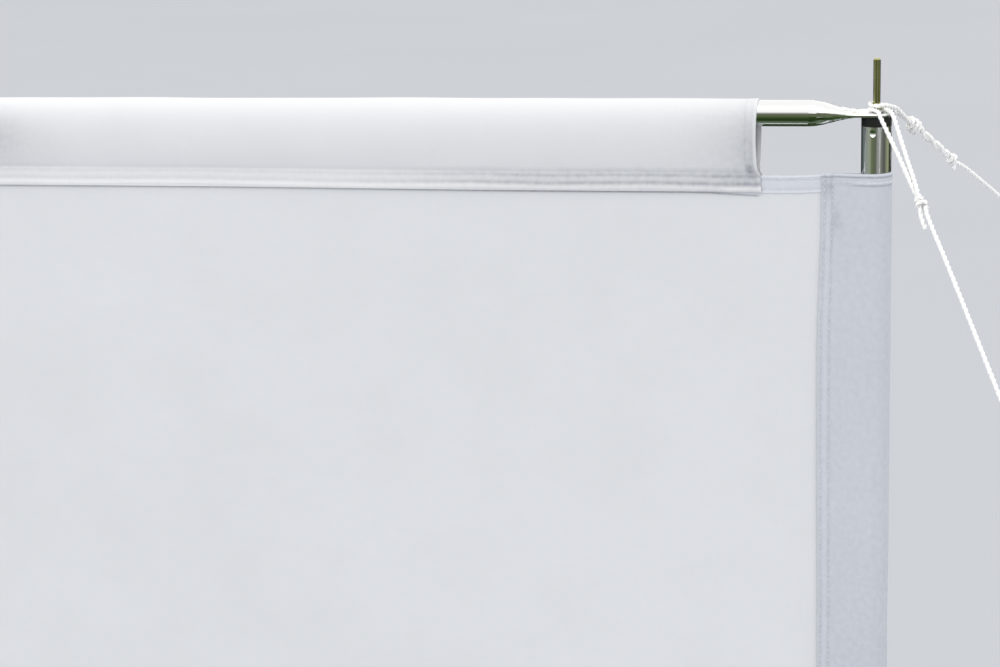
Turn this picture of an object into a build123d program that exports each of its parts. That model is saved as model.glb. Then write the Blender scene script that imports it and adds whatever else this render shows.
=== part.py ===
from build123d import *
from math import acos, atan2, cos, degrees, hypot, pi, radians, sin, tan
import os

# Beach windbreak: cloth bays between steel uprights, with a steel rail along the top of each bay.
# Millimetres, +Z up, +X along the row to its right-hand end, +Y to the back.
# The origin is on the ground under the foot of the right-hand end upright.

# The row
bay_count = 3
bay_width = 1500.0
rail_height = 1390.0

# Uprights
upright_diameter = 25.0
upright_wall = 1.0
dimple_depth = 1.1
dimple_radius = 5.0
dimple_drop = 5.0
dimple_angle = 258.0

# Plugs in the tops of the uprights
collar_height = 8.4
collar_edge = 0.8
stem_length = 32.0
stem_bore_depth = 26.0
groove_width = 8.0
groove_depth = 1.4

# Spikes
spike_diameter = 6.0
spike_rise = 47.6
spike_chamfer = 1.4

# Rails, flattened at both ends
rail_diameter = 22.0
rail_wall = 1.0
taper_start = 56.0
taper_end = 14.0
tab_reach = 11.0
tab_gap = 1.2
tab_corner = 7.0
taper_sections = 6
eye_clearance = 0.4

# Feet
foot_diameter = 50.0
foot_thickness = 6.0
foot_collar_wall = 3.0
foot_collar_height = 40.0
foot_edge = 1.5
foot_collar_edge = 1.0

# Cloth
cloth = 1.0
ease = 0.3
panel_drop = 49.5
panel_ground_gap = 12.0
top_hem = 15.0
bottom_hem = 30.0
seam_reach = 47.5
seam_overlap = 10.0
rail_sleeve_overlap = 16.3
rail_sleeve_setback = 97.0
pole_sleeve_ground_gap = 55.0

# Guy ropes
rope_diameter = 4.0
rope_ease = 0.15
rope_bend = 6.0
knot_length = 13.0
knot_diameter = 9.5
end_knot_diameter = 9.0
end_knot_length = 8.0
peg_rise = 20.0
slider_from_peg = 260.0

# Guy directions: degrees round from +X, degrees below level, and knots along the rope from the spike
front_end_guy = (-62.0, 45.0, [116.0])
back_end_guy = (49.0, 35.0, [54.0, 113.0])
front_middle_guy = (-90.0, 45.0, [116.0])
back_middle_guy = (90.0, 45.0, [116.0])

# Sliders on the guy ropes
slider_length = 34.0
slider_width = 12.0
slider_thickness = 3.0
slider_pitch = 20.0
slider_hole = 5.0

# Pegs
peg_diameter = 6.0
peg_shaft = 46.0
peg_hook_radius = 8.0
peg_hook_arm = 9.0
peg_buried = 120.0

# Tabs along the bottom hem
tabs_per_bay = 2
strap_width = 25.0
strap = 1.5
strap_lap = 26.0
strap_reach = 58.0
strap_bend = 5.0
eyelet_inset = 14.0
eyelet_bore = 9.0
eyelet_flange = 17.0
eyelet_plate = 0.6
eyelet_edge = 0.35
tab_peg_shaft = 20.0

# Fit between solid pieces
fit = 0.1

# Roundings, as shares of the thickness or radius that they round
edge_rounding = 0.49
slider_rounding = 0.45
knot_rounding = 0.75
tight_bend = 0.98


def squeezed_width(height):
    """Width of a rail's tube squeezed to a height: the length round its wall stays the same."""
    wall_line = pi * (rail_diameter - rail_wall)
    return height + (wall_line - pi * (height - rail_wall)) / 2


# Sizes that follow from those above
upright_radius = upright_diameter / 2
rail_radius = rail_diameter / 2
tab_thickness = 2 * rail_wall + tab_gap
tab_width = squeezed_width(tab_thickness)
eye_diameter = spike_diameter + eye_clearance
plug_top = rail_height - tab_thickness / 2
upright_top = plug_top - collar_height
dimple_height = upright_top - dimple_drop
panel_top = rail_height - panel_drop
panel_bottom = panel_ground_gap
layer_gap = cloth + ease
rope_radius = rope_diameter / 2
peg_radius = peg_diameter / 2
peg_loop = peg_radius + rope_radius + rope_ease
spike_loop = spike_diameter / 2 + rope_radius + rope_ease
stations = [-bay_width * i for i in range(bay_count + 1)]
row_length = bay_width * bay_count


def upright():
    """Steel tube, open at both ends, dimpled below the rim to hold the plug."""
    tube_height = upright_top - foot_thickness
    low = (Align.CENTER, Align.CENTER, Align.MIN)
    tube = Cylinder(upright_radius, tube_height, align=low)
    tube -= Cylinder(upright_radius - upright_wall, tube_height, align=low)
    tube = Pos(0, 0, foot_thickness) * tube
    centre_radius = upright_radius - dimple_depth + dimple_radius
    centre = Pos(centre_radius * cos(radians(dimple_angle)), centre_radius * sin(radians(dimple_angle)), dimple_height)
    inner_half = Pos(0, 0, dimple_height) * Cylinder(upright_radius - upright_wall / 2, 4 * dimple_radius)
    boss = centre * Sphere(dimple_radius + upright_wall) & inner_half
    return tube + boss - centre * Sphere(dimple_radius)


def top_plug():
    """Plastic plug: a collar on the tube's rim, and a bored stem with a groove for the dimple."""
    stem_radius = upright_radius - upright_wall - fit
    collar = Pos(0, 0, upright_top + collar_height / 2) * Cylinder(upright_radius, collar_height)
    collar = chamfer(collar.edges().group_by(Axis.Z)[-1], collar_edge)
    stem = Pos(0, 0, upright_top - stem_length / 2) * Cylinder(stem_radius, stem_length)
    groove = Cylinder(stem_radius + fit, groove_width) - Cylinder(stem_radius - groove_depth, groove_width)
    bore = Pos(0, 0, plug_top - stem_bore_depth / 2) * Cylinder(spike_diameter / 2 + fit / 2, stem_bore_depth)
    return collar + stem - Pos(0, 0, dimple_height) * groove - bore


def top_spike():
    """Plated steel spike standing in the plug's bore, through the eyes of the rails."""
    length = stem_bore_depth + spike_rise
    spike = Pos(0, 0, plug_top - stem_bore_depth + length / 2) * Cylinder(spike_diameter / 2, length)
    return chamfer(spike.edges().group_by(Axis.Z)[-1], spike_chamfer)


def foot():
    """Plastic foot: a round base with a collar that the upright stands in."""
    bore = upright_radius + fit
    outer = bore + foot_collar_wall
    low = (Align.CENTER, Align.CENTER, Align.MIN)
    base = Cylinder(foot_diameter / 2, foot_thickness, align=low)
    base = chamfer(base.edges().group_by(Axis.Z)[-1], foot_edge)
    body = base + Cylinder(outer, foot_collar_height, align=low)
    rim = body.edges().filter_by(GeomType.CIRCLE).group_by(Axis.Z)[-1]
    body = chamfer(rim, foot_collar_edge)
    return body - Pos(0, 0, foot_thickness) * Cylinder(bore, foot_collar_height, align=low)


def flattened_end():
    """Right-hand end of a rail about the rail's axis: round tube, squeezed down to a flat tab with an eye."""
    sections = []
    for step in range(taper_sections + 1):
        share = step / taper_sections
        squeeze = share * share * (3 - 2 * share)
        height = rail_diameter - (rail_diameter - tab_thickness) * squeeze
        place = Plane.YZ.offset(-taper_start + (taper_start - taper_end) * share)
        outline = SlotOverall(squeezed_width(height), height) if step else Circle(rail_radius)
        sections.append(place * outline)
    taper = loft(sections)
    tab_length = taper_end + tab_reach
    tab = Pos(tab_reach - tab_length / 2, 0, 0) * Box(tab_length, tab_width, tab_thickness)
    tip_corners = tab.edges().filter_by(Axis.Z).group_by(Axis.X)[-1]
    tab = fillet(tip_corners, tab_corner)
    tab = fillet(tab.edges().filter_by(Axis.X), tab_thickness * edge_rounding)
    return taper + tab - Cylinder(eye_diameter / 2, 2 * tab_thickness)


def top_rail(height):
    """Rail of one bay, from eye to eye, about the middle of the bay."""
    right = Pos(bay_width / 2, 0, 0) * flattened_end()
    left = Rot(0, 0, 180) * right
    tube_length = bay_width - 2 * taper_start
    tube = Rot(0, 90, 0) * Cylinder(rail_radius, tube_length)
    return Pos(0, 0, height) * (right + tube + left)


def touching_point(radius, distance, height):
    """Point of a circle about the origin where the line from (distance, height) touches it, on the upper side."""
    angle = atan2(height, distance) + acos(radius / hypot(distance, height))
    return radius * cos(angle), radius * sin(angle)


def wrap_points(radius, reach, lap, height):
    """End, knee and touching point of a cloth layer that leaves a round tube for a flat lap."""
    return [(reach, height), (reach - lap, height), touching_point(radius, reach - lap, height)]


def folded_section(tube_radius, reach, lap):
    """Section of a cloth sleeve folded once round a tube, both layers meeting in a lap along +X."""
    inner_radius = tube_radius + ease
    outer_radius = inner_radius + cloth
    outer = wrap_points(outer_radius, reach, lap, layer_gap + cloth)
    inner = wrap_points(inner_radius, reach, lap, layer_gap)
    edges = []
    for points, radius in ((outer, outer_radius), (inner, inner_radius)):
        mirrored = [(x, -y) for x, y in points]
        edges.append(Polyline(*points))
        edges.append(Polyline(*mirrored))
        edges.append(ThreePointArc(points[-1], (-radius, 0), mirrored[-1]))
    edges.append(Line(outer[0], inner[0]))
    edges.append(Line((reach, -layer_gap - cloth), (reach, -layer_gap)))
    return make_face(edges)


def layer_section(tube_radius, reach, lap):
    """Section of one layer of a sleeve that passes over a tube between two laps, along -X and +X."""
    inner_radius = tube_radius + ease
    outer_radius = inner_radius + cloth
    outer = wrap_points(outer_radius, reach, lap, layer_gap + cloth)
    inner = wrap_points(inner_radius, reach, lap, layer_gap)
    edges = []
    for points, radius in ((outer, outer_radius), (inner, inner_radius)):
        mirrored = [(-x, y) for x, y in points]
        edges.append(Polyline(*points))
        edges.append(Polyline(*mirrored))
        edges.append(ThreePointArc(points[-1], (0, radius), mirrored[-1]))
    edges.append(Line(outer[0], inner[0]))
    edges.append(Line((-reach, layer_gap + cloth), (-reach, layer_gap)))
    return make_face(edges)


def end_pole_sleeve():
    """Pole sleeve of the right-hand end upright, with its lap towards the panel."""
    section = Rot(0, 0, 180) * folded_section(upright_radius, seam_reach, seam_overlap)
    height = panel_top - pole_sleeve_ground_gap
    return extrude(Pos(0, 0, pole_sleeve_ground_gap) * section, height, dir=(0, 0, 1))


def middle_pole_sleeve():
    """Pole sleeve between two bays: a front and a back layer, lapped on both panels."""
    height = panel_top - pole_sleeve_ground_gap
    section = Pos(0, 0, pole_sleeve_ground_gap) * layer_section(upright_radius, seam_reach, seam_overlap)
    back = extrude(section, height, dir=(0, 0, 1))
    return Compound(children=[back, Rot(0, 0, 180) * back])


def rail_sleeve(height):
    """Cloth folded over a rail, its two layers lapped on the top hem of the panel, about the middle of the bay."""
    reach = height - panel_top + rail_sleeve_overlap
    length = bay_width - 2 * rail_sleeve_setback
    down = Plane(origin=(-length / 2, 0, height), x_dir=(0, 0, -1), z_dir=(1, 0, 0))
    section = down * folded_section(rail_radius, reach, rail_sleeve_overlap)
    return extrude(section, length, dir=(1, 0, 0))


def panel():
    """Cloth of one bay between its pole sleeves, doubled in the top and bottom hems."""
    width = bay_width - 2 * (seam_reach - seam_overlap)
    height = panel_top - panel_bottom
    cloth_sheet = Pos(0, 0, panel_bottom + height / 2) * Box(width, cloth, height)
    top = Pos(0, 0, panel_top - top_hem / 2) * Box(width, 2 * cloth, top_hem)
    bottom = Pos(0, 0, panel_bottom + bottom_hem / 2) * Box(width, 2 * cloth, bottom_hem)
    return cloth_sheet + top + bottom


def rod(points, diameter, radii):
    """Round rod along straight runs joined by arcs."""
    path = FilletPolyline(*points, radius=radii)
    pieces = []
    for edge in path.edges():
        section = Plane(origin=edge @ 0, z_dir=edge % 0) * Circle(diameter / 2)
        if edge.geom_type == GeomType.LINE:
            pieces.append(extrude(section, edge.length, dir=edge % 0))
        else:
            axis = Axis(edge.arc_center, (edge % 0).cross(edge % 1))
            pieces.append(revolve(section, axis, degrees(edge.length / edge.radius)))
    return pieces[0].fuse(*pieces[1:])


def knot(length, diameter):
    """Rounded lump of a knot, its long axis along X."""
    lump = Rot(0, 90, 0) * Cylinder(diameter / 2, length)
    return fillet(lump.edges().filter_by(GeomType.CIRCLE), min(diameter / 2, length / 2) * knot_rounding)


def tab_edge(azimuth):
    """Distance from the spike's axis to the edge of a rail's tab, in the direction of a guy."""
    across = tab_width / 2 / max(abs(sin(radians(azimuth))), 0.01)
    along = tab_reach / max(abs(cos(radians(azimuth))), 0.01)
    return min(across, along)


def guy_start(azimuth, slope, level):
    """Distance out and height of the bend where a guy turns down over the tab's edge."""
    out = tab_edge(azimuth) + rope_radius * tan(radians(slope) / 2) + 1.0
    return out, level


def guy_run(azimuth, slope, level):
    """Length of the sloping run of a guy, from its bend to the axis of its peg."""
    out, height = guy_start(azimuth, slope, level)
    return (height - peg_rise) / sin(radians(slope))


def slope_frame(azimuth, slope, level, along):
    """Place on the sloping run of a guy, with local X down the rope and local Y to its side."""
    out, height = guy_start(azimuth, slope, level)
    bend = Pos(out, 0, height) * Rot(0, slope, 0)
    return Rot(0, 0, azimuth) * bend * Pos(along, 0, 0)


def guy_rope(azimuth, slope, level, knots):
    """Guy rope from its loop on the spike, through its knots and slider, round its peg and back."""
    out, height = guy_start(azimuth, slope, level)
    run = guy_run(azimuth, slope, level)
    drop = radians(slope)
    last = knots[-1] - out
    end_at = run - slider_from_peg - slider_thickness / 2 - ease - end_knot_length / 2
    end_side = slider_side(run, last) - slider_pitch

    def on_slope(along, side):
        return (out + along * cos(drop), side, height - along * sin(drop))

    def across(sign):
        """The strand at one side of the spike, from the corner behind it to the last knot."""
        corner = (-spike_loop, sign * spike_loop, height)
        edge = (out, sign * spike_loop, height)
        return [corner, edge] + [on_slope(along - out, sign * (rope_radius + rope_ease)) for along in knots]

    turn = tight_bend * spike_loop
    pinches = [rope_bend] * (len(knots) - 1)
    radii = pinches + [rope_bend, turn, turn, rope_bend] + pinches
    rope = rod(across(-1)[::-1] + across(1), rope_diameter, radii)
    for along in knots:
        rope += Pos(*on_slope(along - out, 0)) * Rot(0, slope, 0) * knot(knot_length, knot_diameter)
    peg_turn = [on_slope(run + peg_loop, peg_loop), on_slope(run + peg_loop, -peg_loop)]
    rope += rod([on_slope(last, 0)] + peg_turn + [on_slope(end_at, end_side)], rope_diameter, tight_bend * peg_loop)
    rope += Pos(*on_slope(end_at, end_side)) * Rot(0, slope, 0) * knot(end_knot_length, end_knot_diameter)
    return Rot(0, 0, azimuth) * rope


def slider_side(run, last):
    """Sideways place of the main rope where it passes the slider."""
    share = (run - slider_from_peg - last) / (run - last)
    return peg_loop * share


def slider(azimuth, slope, level, knots):
    """Slider: a small plate with two holes, square to the rope."""
    out, height = guy_start(azimuth, slope, level)
    run = guy_run(azimuth, slope, level)
    side = slider_side(run, knots[-1] - out)
    plate = Box(slider_thickness, slider_length, slider_width)
    plate = fillet(plate.edges().filter_by(Axis.X), slider_width * slider_rounding)
    hole = Rot(0, 90, 0) * Cylinder(slider_hole / 2, 2 * slider_thickness)
    plate -= Pos(0, slider_pitch / 2, 0) * hole
    plate -= Pos(0, -slider_pitch / 2, 0) * hole
    place = slope_frame(azimuth, slope, level, run - slider_from_peg)
    return place * Pos(0, side - slider_pitch / 2, 0) * plate


def peg(lean, shaft, hook_side):
    """Round steel peg above ground level, leaning in the XZ plane, its shaft through the origin, hooked at the top."""
    turn = 2 * peg_hook_radius * hook_side
    points = [(0, 0, -peg_buried), (0, 0, shaft + peg_hook_radius), (turn, 0, shaft + peg_hook_radius),
              (turn, 0, shaft - peg_hook_arm)]
    stick = rod(points, peg_diameter, peg_hook_radius - 0.01)
    return Rot(0, lean, 0) * stick


def above_ground(shape):
    """The part of a shape that stands above the ground."""
    box = shape.bounding_box()
    size = box.size
    slab = Pos(box.center().X, box.center().Y, -size.Z / 2) * Box(2 * size.X, 2 * size.Y + peg_diameter, size.Z)
    return shape - slab


def guy_peg(azimuth, slope, level):
    """Peg of one guy, square to its rope, with the hook away from the upright."""
    out, height = guy_start(azimuth, slope, level)
    run = guy_run(azimuth, slope, level)
    distance = out + run * cos(radians(slope))
    standing = above_ground(Pos(distance, 0, peg_rise) * peg(slope, peg_shaft - peg_rise, 1))
    return Rot(0, 0, azimuth) * standing


def hem_tab():
    """Webbing tab: sewn to the front of the hem, bent forward to lie on the ground, with a hole for its eyelet."""
    face = -cloth - ease
    top = panel_bottom + strap_lap
    outline = FilletPolyline((face - strap / 2, top), (face - strap / 2, strap / 2 + ease),
                             (face - strap_reach, strap / 2 + ease), radius=strap_bend)
    path = Plane.YZ * outline
    start = Plane(origin=path @ 0, z_dir=path % 0, x_dir=(1, 0, 0))
    tab = sweep(start * Rectangle(strap_width, strap), path=path)
    return tab - Pos(0, eyelet_place(), 0) * Cylinder(eyelet_bore / 2 + eyelet_plate + fit, 20 * strap)


def eyelet_place():
    """Distance forward of the panel's middle plane at which the eyelet's axis stands."""
    return -cloth - ease - strap_reach + eyelet_inset


def eyelet():
    """Rolled brass eyelet: a short barrel with a flange on the tab and a smaller one beneath it."""
    barrel_radius = eyelet_bore / 2 + eyelet_plate
    top = strap + ease + eyelet_plate
    profile = Cylinder(barrel_radius, top, align=(Align.CENTER, Align.CENTER, Align.MIN))
    flange = Pos(0, 0, strap + ease + eyelet_plate / 2) * Cylinder(eyelet_flange / 2, eyelet_plate)
    flange = chamfer(flange.edges().group_by(Axis.Z)[-1], eyelet_edge)
    bore = Cylinder(eyelet_bore / 2, 4 * top)
    return Pos(0, eyelet_place(), 0) * (profile + flange - bore)


def tab_peg():
    """Peg through an eyelet, bearing on the front of its bore, with its hook to the front."""
    standing = above_ground(Rot(0, 0, -90) * peg(0, tab_peg_shaft, 1))
    bearing = (eyelet_bore - peg_diameter) / 2 - ease
    return Pos(0, eyelet_place() - bearing, 0) * standing


def mirrored_azimuth(azimuth):
    """Direction of a guy at the left-hand end, mirrored from the right-hand end."""
    return 180 - azimuth


def guys_at(index):
    """Front and back guy of a station: direction, slope and knots."""
    if 0 < index < bay_count:
        return {"front": front_middle_guy, "back": back_middle_guy}
    if index == 0:
        return {"front": front_end_guy, "back": back_end_guy}
    return {name: (mirrored_azimuth(guy[0]), guy[1], guy[2])
            for name, guy in (("front", front_end_guy), ("back", back_end_guy))}


def raised(bay):
    """Extra height of a bay's rail: every second rail lies on its neighbours' tabs."""
    return tab_thickness if bay % 2 == 1 else 0.0


def stack_top(index):
    """Height of the uppermost tab on a station's spike."""
    tabs = 2 if 0 < index < bay_count else 1
    return plug_top + tabs * tab_thickness


def tab_places():
    """Distances of the hem tabs along the row."""
    step = bay_width / tabs_per_bay
    return [-bay_width * bay - step * (number + 0.5) for bay in range(bay_count) for number in range(tabs_per_bay)]


def write(name, shape):
    """One file for each sub-part, named after it."""
    shape.label = name
    export_step(shape, f"parts/{name}.step")


os.makedirs("parts", exist_ok=True)

sliders = []
guy_pegs = []
for index, station in enumerate(stations):
    number = index + 1
    place = Pos(station, 0, 0)
    write(f"upright_{number}", place * upright())
    write(f"top_plug_{number}", place * top_plug())
    write(f"top_spike_{number}", place * top_spike())
    write(f"foot_{number}", place * foot())
    level = stack_top(index) + rope_radius + rope_ease
    for side, (azimuth, slope, knots) in guys_at(index).items():
        write(f"guy_rope_{number}_{side}", place * guy_rope(azimuth, slope, level, knots))
        sliders.append(place * slider(azimuth, slope, level, knots))
        guy_pegs.append(place * guy_peg(azimuth, slope, level))
        level += rope_diameter + rope_ease

write("pole_sleeve_1", end_pole_sleeve())
for index in range(1, bay_count):
    write(f"pole_sleeve_{index + 1}", Pos(stations[index], 0, 0) * middle_pole_sleeve())
write(f"pole_sleeve_{bay_count + 1}", Pos(-row_length, 0, 0) * Rot(0, 0, 180) * end_pole_sleeve())

for bay in range(bay_count):
    number = bay + 1
    place = Pos(-bay_width * (bay + 0.5), 0, 0)
    height = rail_height + raised(bay)
    write(f"top_rail_{number}", place * top_rail(height))
    write(f"rail_sleeve_{number}", place * rail_sleeve(height))
    write(f"panel_{number}", place * panel())

write("guy_sliders", Compound(children=sliders))
write("guy_pegs", Compound(children=guy_pegs))
write("hem_tabs", Compound(children=[Pos(x, 0, 0) * hem_tab() for x in tab_places()]))
write("hem_eyelets", Compound(children=[Pos(x, 0, 0) * eyelet() for x in tab_places()]))
write("hem_pegs", Compound(children=[Pos(x, 0, 0) * tab_peg() for x in tab_places()]))
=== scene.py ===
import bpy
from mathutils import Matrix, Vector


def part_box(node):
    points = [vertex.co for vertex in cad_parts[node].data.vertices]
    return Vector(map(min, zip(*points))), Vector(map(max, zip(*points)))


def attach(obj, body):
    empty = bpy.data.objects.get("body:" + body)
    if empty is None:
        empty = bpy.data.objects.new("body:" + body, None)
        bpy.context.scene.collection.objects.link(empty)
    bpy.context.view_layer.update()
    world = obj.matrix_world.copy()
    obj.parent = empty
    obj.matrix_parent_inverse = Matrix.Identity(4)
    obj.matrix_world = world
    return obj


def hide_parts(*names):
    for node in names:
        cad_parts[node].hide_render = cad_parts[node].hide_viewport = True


bl_info = {
    "name": "Beach windbreak",
    "version": (1, 0, 0),
    "blender": (4, 5, 0),
    "location": "3D View > Sidebar > Windbreak",
    "description": "Cloth windbreak on steel uprights, with sewn sleeves and laid guy ropes",
    "category": "Add Mesh",
}

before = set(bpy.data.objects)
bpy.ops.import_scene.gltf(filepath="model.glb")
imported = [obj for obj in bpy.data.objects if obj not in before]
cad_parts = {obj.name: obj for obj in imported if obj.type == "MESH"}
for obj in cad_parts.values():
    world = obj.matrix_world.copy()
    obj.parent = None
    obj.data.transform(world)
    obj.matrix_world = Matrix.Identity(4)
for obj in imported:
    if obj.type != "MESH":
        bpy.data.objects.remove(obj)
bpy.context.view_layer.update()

import math
import random
from bisect import bisect_right

import bpy
from bpy.props import FloatProperty, FloatVectorProperty, IntProperty, PointerProperty
from mathutils import Matrix, Vector

MM = 0.001
# Gap between a sleeve and its tube, and between ropes that touch
TUBE_GAP = 0.0003
ROPE_GAP = 0.00015
# Scale of a wave texture that has one band in each metre
ONE_BAND = math.pi / 10
# A short way along the cloth, over which its slope is measured
NEARBY = 0.0004

# Guys as (degrees round from +X, degrees below level, millimetres from the spike to each knot)
FRONT_END_GUY = (-62.0, 45.0, (113.0,))
BACK_END_GUY = (49.0, 35.0, (54.0, 113.0))
FRONT_MIDDLE_GUY = (-90.0, 45.0, (113.0,))
BACK_MIDDLE_GUY = (90.0, 45.0, (116.0,))


def linear(code):
    """Linear colour of an sRGB hex value."""
    channels = [int(code[place:place + 2], 16) / 255 for place in (1, 3, 5)]
    return [c / 12.92 if c <= 0.04045 else ((c + 0.055) / 1.055) ** 2.4 for c in channels]


def length(name, description, millimetres):
    """A length property with its default in millimetres."""
    return FloatProperty(name=name, description=description, default=millimetres * MM,
                         unit="LENGTH", precision=4)


def colour(name, description, code):
    """A colour property with its default as an sRGB hex value."""
    return FloatVectorProperty(name=name, description=description, default=linear(code),
                               subtype="COLOR", size=3, min=0.0, max=1.0)


class WindbreakSizes(bpy.types.PropertyGroup):
    """Sizes of the windbreak's cloth, stitches and ropes."""
    bay_count: IntProperty(name="Bays", description="Bays in the row", default=3, min=1)
    bay_width: length("Bay width", "From one upright to the next", 1500)
    rail_height: length("Rail height", "Axis of the first rail above the ground", 1390)
    rail_diameter: length("Rail diameter", "Outside diameter of the rails", 22)
    tab_thickness: length("Tab thickness", "Flattened end of a rail", 3.2)
    tab_width: length("Tab width", "Width of the flattened end of a rail", 32.7)
    tab_reach: length("Tab reach", "From the spike's axis to the end of the tab", 11)
    upright_diameter: length("Upright diameter", "Outside diameter of the uprights", 25)
    spike_diameter: length("Spike diameter", "Spike in the top of each upright", 6)
    panel_top: length("Panel top", "Top edge of the panels above the ground", 1340.5)
    panel_bottom: length("Panel bottom", "Bottom edge of the panels above the ground", 12)
    panel_inset: length("Panel inset", "From an upright's axis to the panel's side edge", 37.5)
    top_hem: length("Top hem", "Height of the band along the panel's top", 15)
    bottom_hem: length("Bottom hem", "Height of the hem along the panel's bottom", 30)
    cloth: length("Cloth", "Thickness of the cloth", 0.8)
    lap_side: length("Lap side", "From the panel's middle plane to the middle of a sleeve's lap", 1.75)
    rail_sleeve_setback: length("Sleeve setback", "From an upright's axis to the end of the rail sleeve", 97)
    rail_sleeve_overlap: length("Sleeve overlap", "Lap of the rail sleeve on the panel", 16.3)
    seam_reach: length("Seam reach", "From an upright's axis to the free edge of its sleeve's lap", 47.5)
    seam_lap: length("Seam lap", "Lap of a pole sleeve on the panel", 10)
    pole_sleeve_foot: length("Pole sleeve foot", "Bottom of a pole sleeve above the ground", 55)
    stitch_pitch: length("Stitch pitch", "From one stitch to the next", 4.6)
    stitch_length: length("Stitch length", "Visible part of one stitch", 3.3)
    thread: length("Thread", "Thickness of the sewing thread", 0.65)
    rope_diameter: length("Rope diameter", "Over the three strands", 4)
    rope_lay: length("Rope lay", "Length of one turn of a strand", 15)
    peg_rise: length("Peg rise", "Height at which a guy rounds its peg", 20)
    peg_diameter: length("Peg diameter", "Diameter of the pegs", 6)
    slider_from_peg: length("Slider place", "From the peg to the slider along the guy", 260)
    slider_pitch: length("Slider holes", "Between the two holes of a slider", 20)


class WindbreakColours(bpy.types.PropertyGroup):
    """Colours of the windbreak."""
    panel: colour("Panel", "Cloth of the panels", "#d9dbde")
    border: colour("Border", "Cloth of the pole sleeves and hems", "#d3d7e0")
    sleeve: colour("Rail sleeve", "Cloth of the rail sleeves", "#e4e5e7")
    band: colour("Top band", "Cloth of the bands along the panels' tops", "#d9dce4")
    # Painted shade: this colour is mixed into the cloth along the stitch rows, in creases and grooves, below
    # the rail sleeve's lap, and over the cloth except on fold ridges, which so read as lit
    soil: colour("Soil", "Grime where hands take hold and along the seams", "#8f939b")
    thread: colour("Thread", "Sewing thread", "#e2e4e9")
    rope: colour("Rope", "Guy ropes", "#fbfbf9")
    steel: colour("Steel", "Chromed steel tube", "#e6e7e6")
    spike: colour("Spike", "Yellow-passivated spike", "#bbba88")
    plastic: colour("Plastic", "Plugs and feet", "#19191a")
    slider: colour("Slider", "Guy sliders", "#e4e5e6")
    peg: colour("Peg", "Galvanised pegs", "#b4b7ba")
    brass: colour("Brass", "Rolled eyelets", "#d4b46a")
    webbing: colour("Webbing", "Tabs along the bottom hem", "#c6cad1")
    floor: colour("Floor", "Studio floor", "#b8bbc1")


def add_node(tree, kind, inputs=None, stops=(), **settings):
    """Add one node of a kind, which is the last part of its type's name.

    An input is a value or a (node, output) pair to link, the stops of a colour ramp are (place, colour)
    pairs, and settings are the node's properties.
    """
    node = tree.nodes.new("ShaderNode" + kind)
    for name, value in settings.items():
        setattr(node, name, value)
    for name, value in (inputs or {}).items():
        if isinstance(value, tuple) and isinstance(value[0], bpy.types.Node):
            tree.links.new(value[0].outputs[value[1]], node.inputs[name])
        else:
            node.inputs[name].default_value = value
    if stops:
        elements = node.color_ramp.elements
        while len(elements) < len(stops):
            elements.new(0.5)
        for element, (place, shade) in zip(elements, stops):
            element.position = place
            element.color = shade
    return node


def new_material(name, build, *values):
    """A node material with the surface that a build function makes in its empty tree."""
    material = bpy.data.materials.new(name)
    material.use_nodes = True
    tree = material.node_tree
    tree.nodes.clear()
    add_node(tree, "OutputMaterial", {"Surface": (build(tree, *values), 0)})
    return material


def tone(value, share):
    """A colour made lighter or darker by a share."""
    return (value[0] * share, value[1] * share, value[2] * share, 1.0)


def woven_polyester(tree, value, soil, thread, roughness, crease):
    """Woven polyester: a close plain weave with a dull sheen, faint creases, and painted shade mixed in from
    the soil attribute.

    The real threads lie 0.3 mm apart, too fine to show, so they are drawn as coarse as thread says.
    """
    uv = add_node(tree, "UVMap", uv_map="cloth")
    warp, weft = [add_node(tree, "TexWave", {"Vector": (uv, "UV"), "Scale": ONE_BAND / thread,
                                             "Distortion": 0.6, "Detail Scale": 2.0}, bands_direction=way)
                  for way in "XY"]
    weave = add_node(tree, "Math", {0: (warp, 1), 1: (weft, 1)}, operation="ADD")
    mottle = add_node(tree, "TexNoise", {"Vector": (uv, "UV"), "Scale": 14.0, "Detail": 5.0,
                                                   "Roughness": 0.6})
    cloud = add_node(tree, "TexNoise", {"Vector": (uv, "UV"), "Scale": 2.6, "Detail": 2.0})
    blend = add_node(tree, "Math", {0: (mottle, 0), 1: (cloud, 0)}, operation="MULTIPLY")
    shade = add_node(tree, "ValToRGB", {"Fac": (blend, 0)},
                     stops=((0.12, tone(value, 0.955)), (0.42, tone(value, 1.0))))
    # Painted shade: the soil attribute, made patchy by noise, mixes the shade colour over the cloth's own
    # colour
    shade_amount = add_node(tree, "Attribute", attribute_name="soil")
    patchy = add_node(tree, "TexNoise", {"Vector": (uv, "UV"), "Scale": 190.0, "Detail": 4.0})
    spread = add_node(tree, "MapRange", {"Value": (patchy, 0), "From Min": 0.3, "From Max": 0.7,
                                                   "To Min": 0.75, "To Max": 1.15})
    shade_share = add_node(tree, "Math", {0: (shade_amount, 2), 1: (spread, 0)}, operation="MULTIPLY")
    cloth = add_node(tree, "Mix", {0: (shade_share, 0), 6: (shade, 0), 7: tone(soil, 1.0)},
                     data_type="RGBA")
    dull = add_node(tree, "MapRange", {"Value": (mottle, 0), "To Min": roughness - 0.06,
                                                 "To Max": roughness + 0.08})
    crumple = add_node(tree, "TexNoise", {"Vector": (uv, "UV"), "Scale": 55.0, "Detail": 4.0})
    coarse = add_node(tree, "Bump", {"Height": (crumple, 0), "Strength": crease, "Distance": 0.0006})
    fine = add_node(tree, "Bump", {"Height": (weave, 0), "Strength": 0.12, "Distance": 0.00015,
                                             "Normal": (coarse, 0)})
    return add_node(tree, "BsdfPrincipled", {
        "Base Color": (cloth, 2), "Roughness": (dull, 0), "Normal": (fine, 0), "Sheen Weight": 0.15,
        "Sheen Roughness": 0.5, "Specular IOR Level": 0.3})


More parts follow.
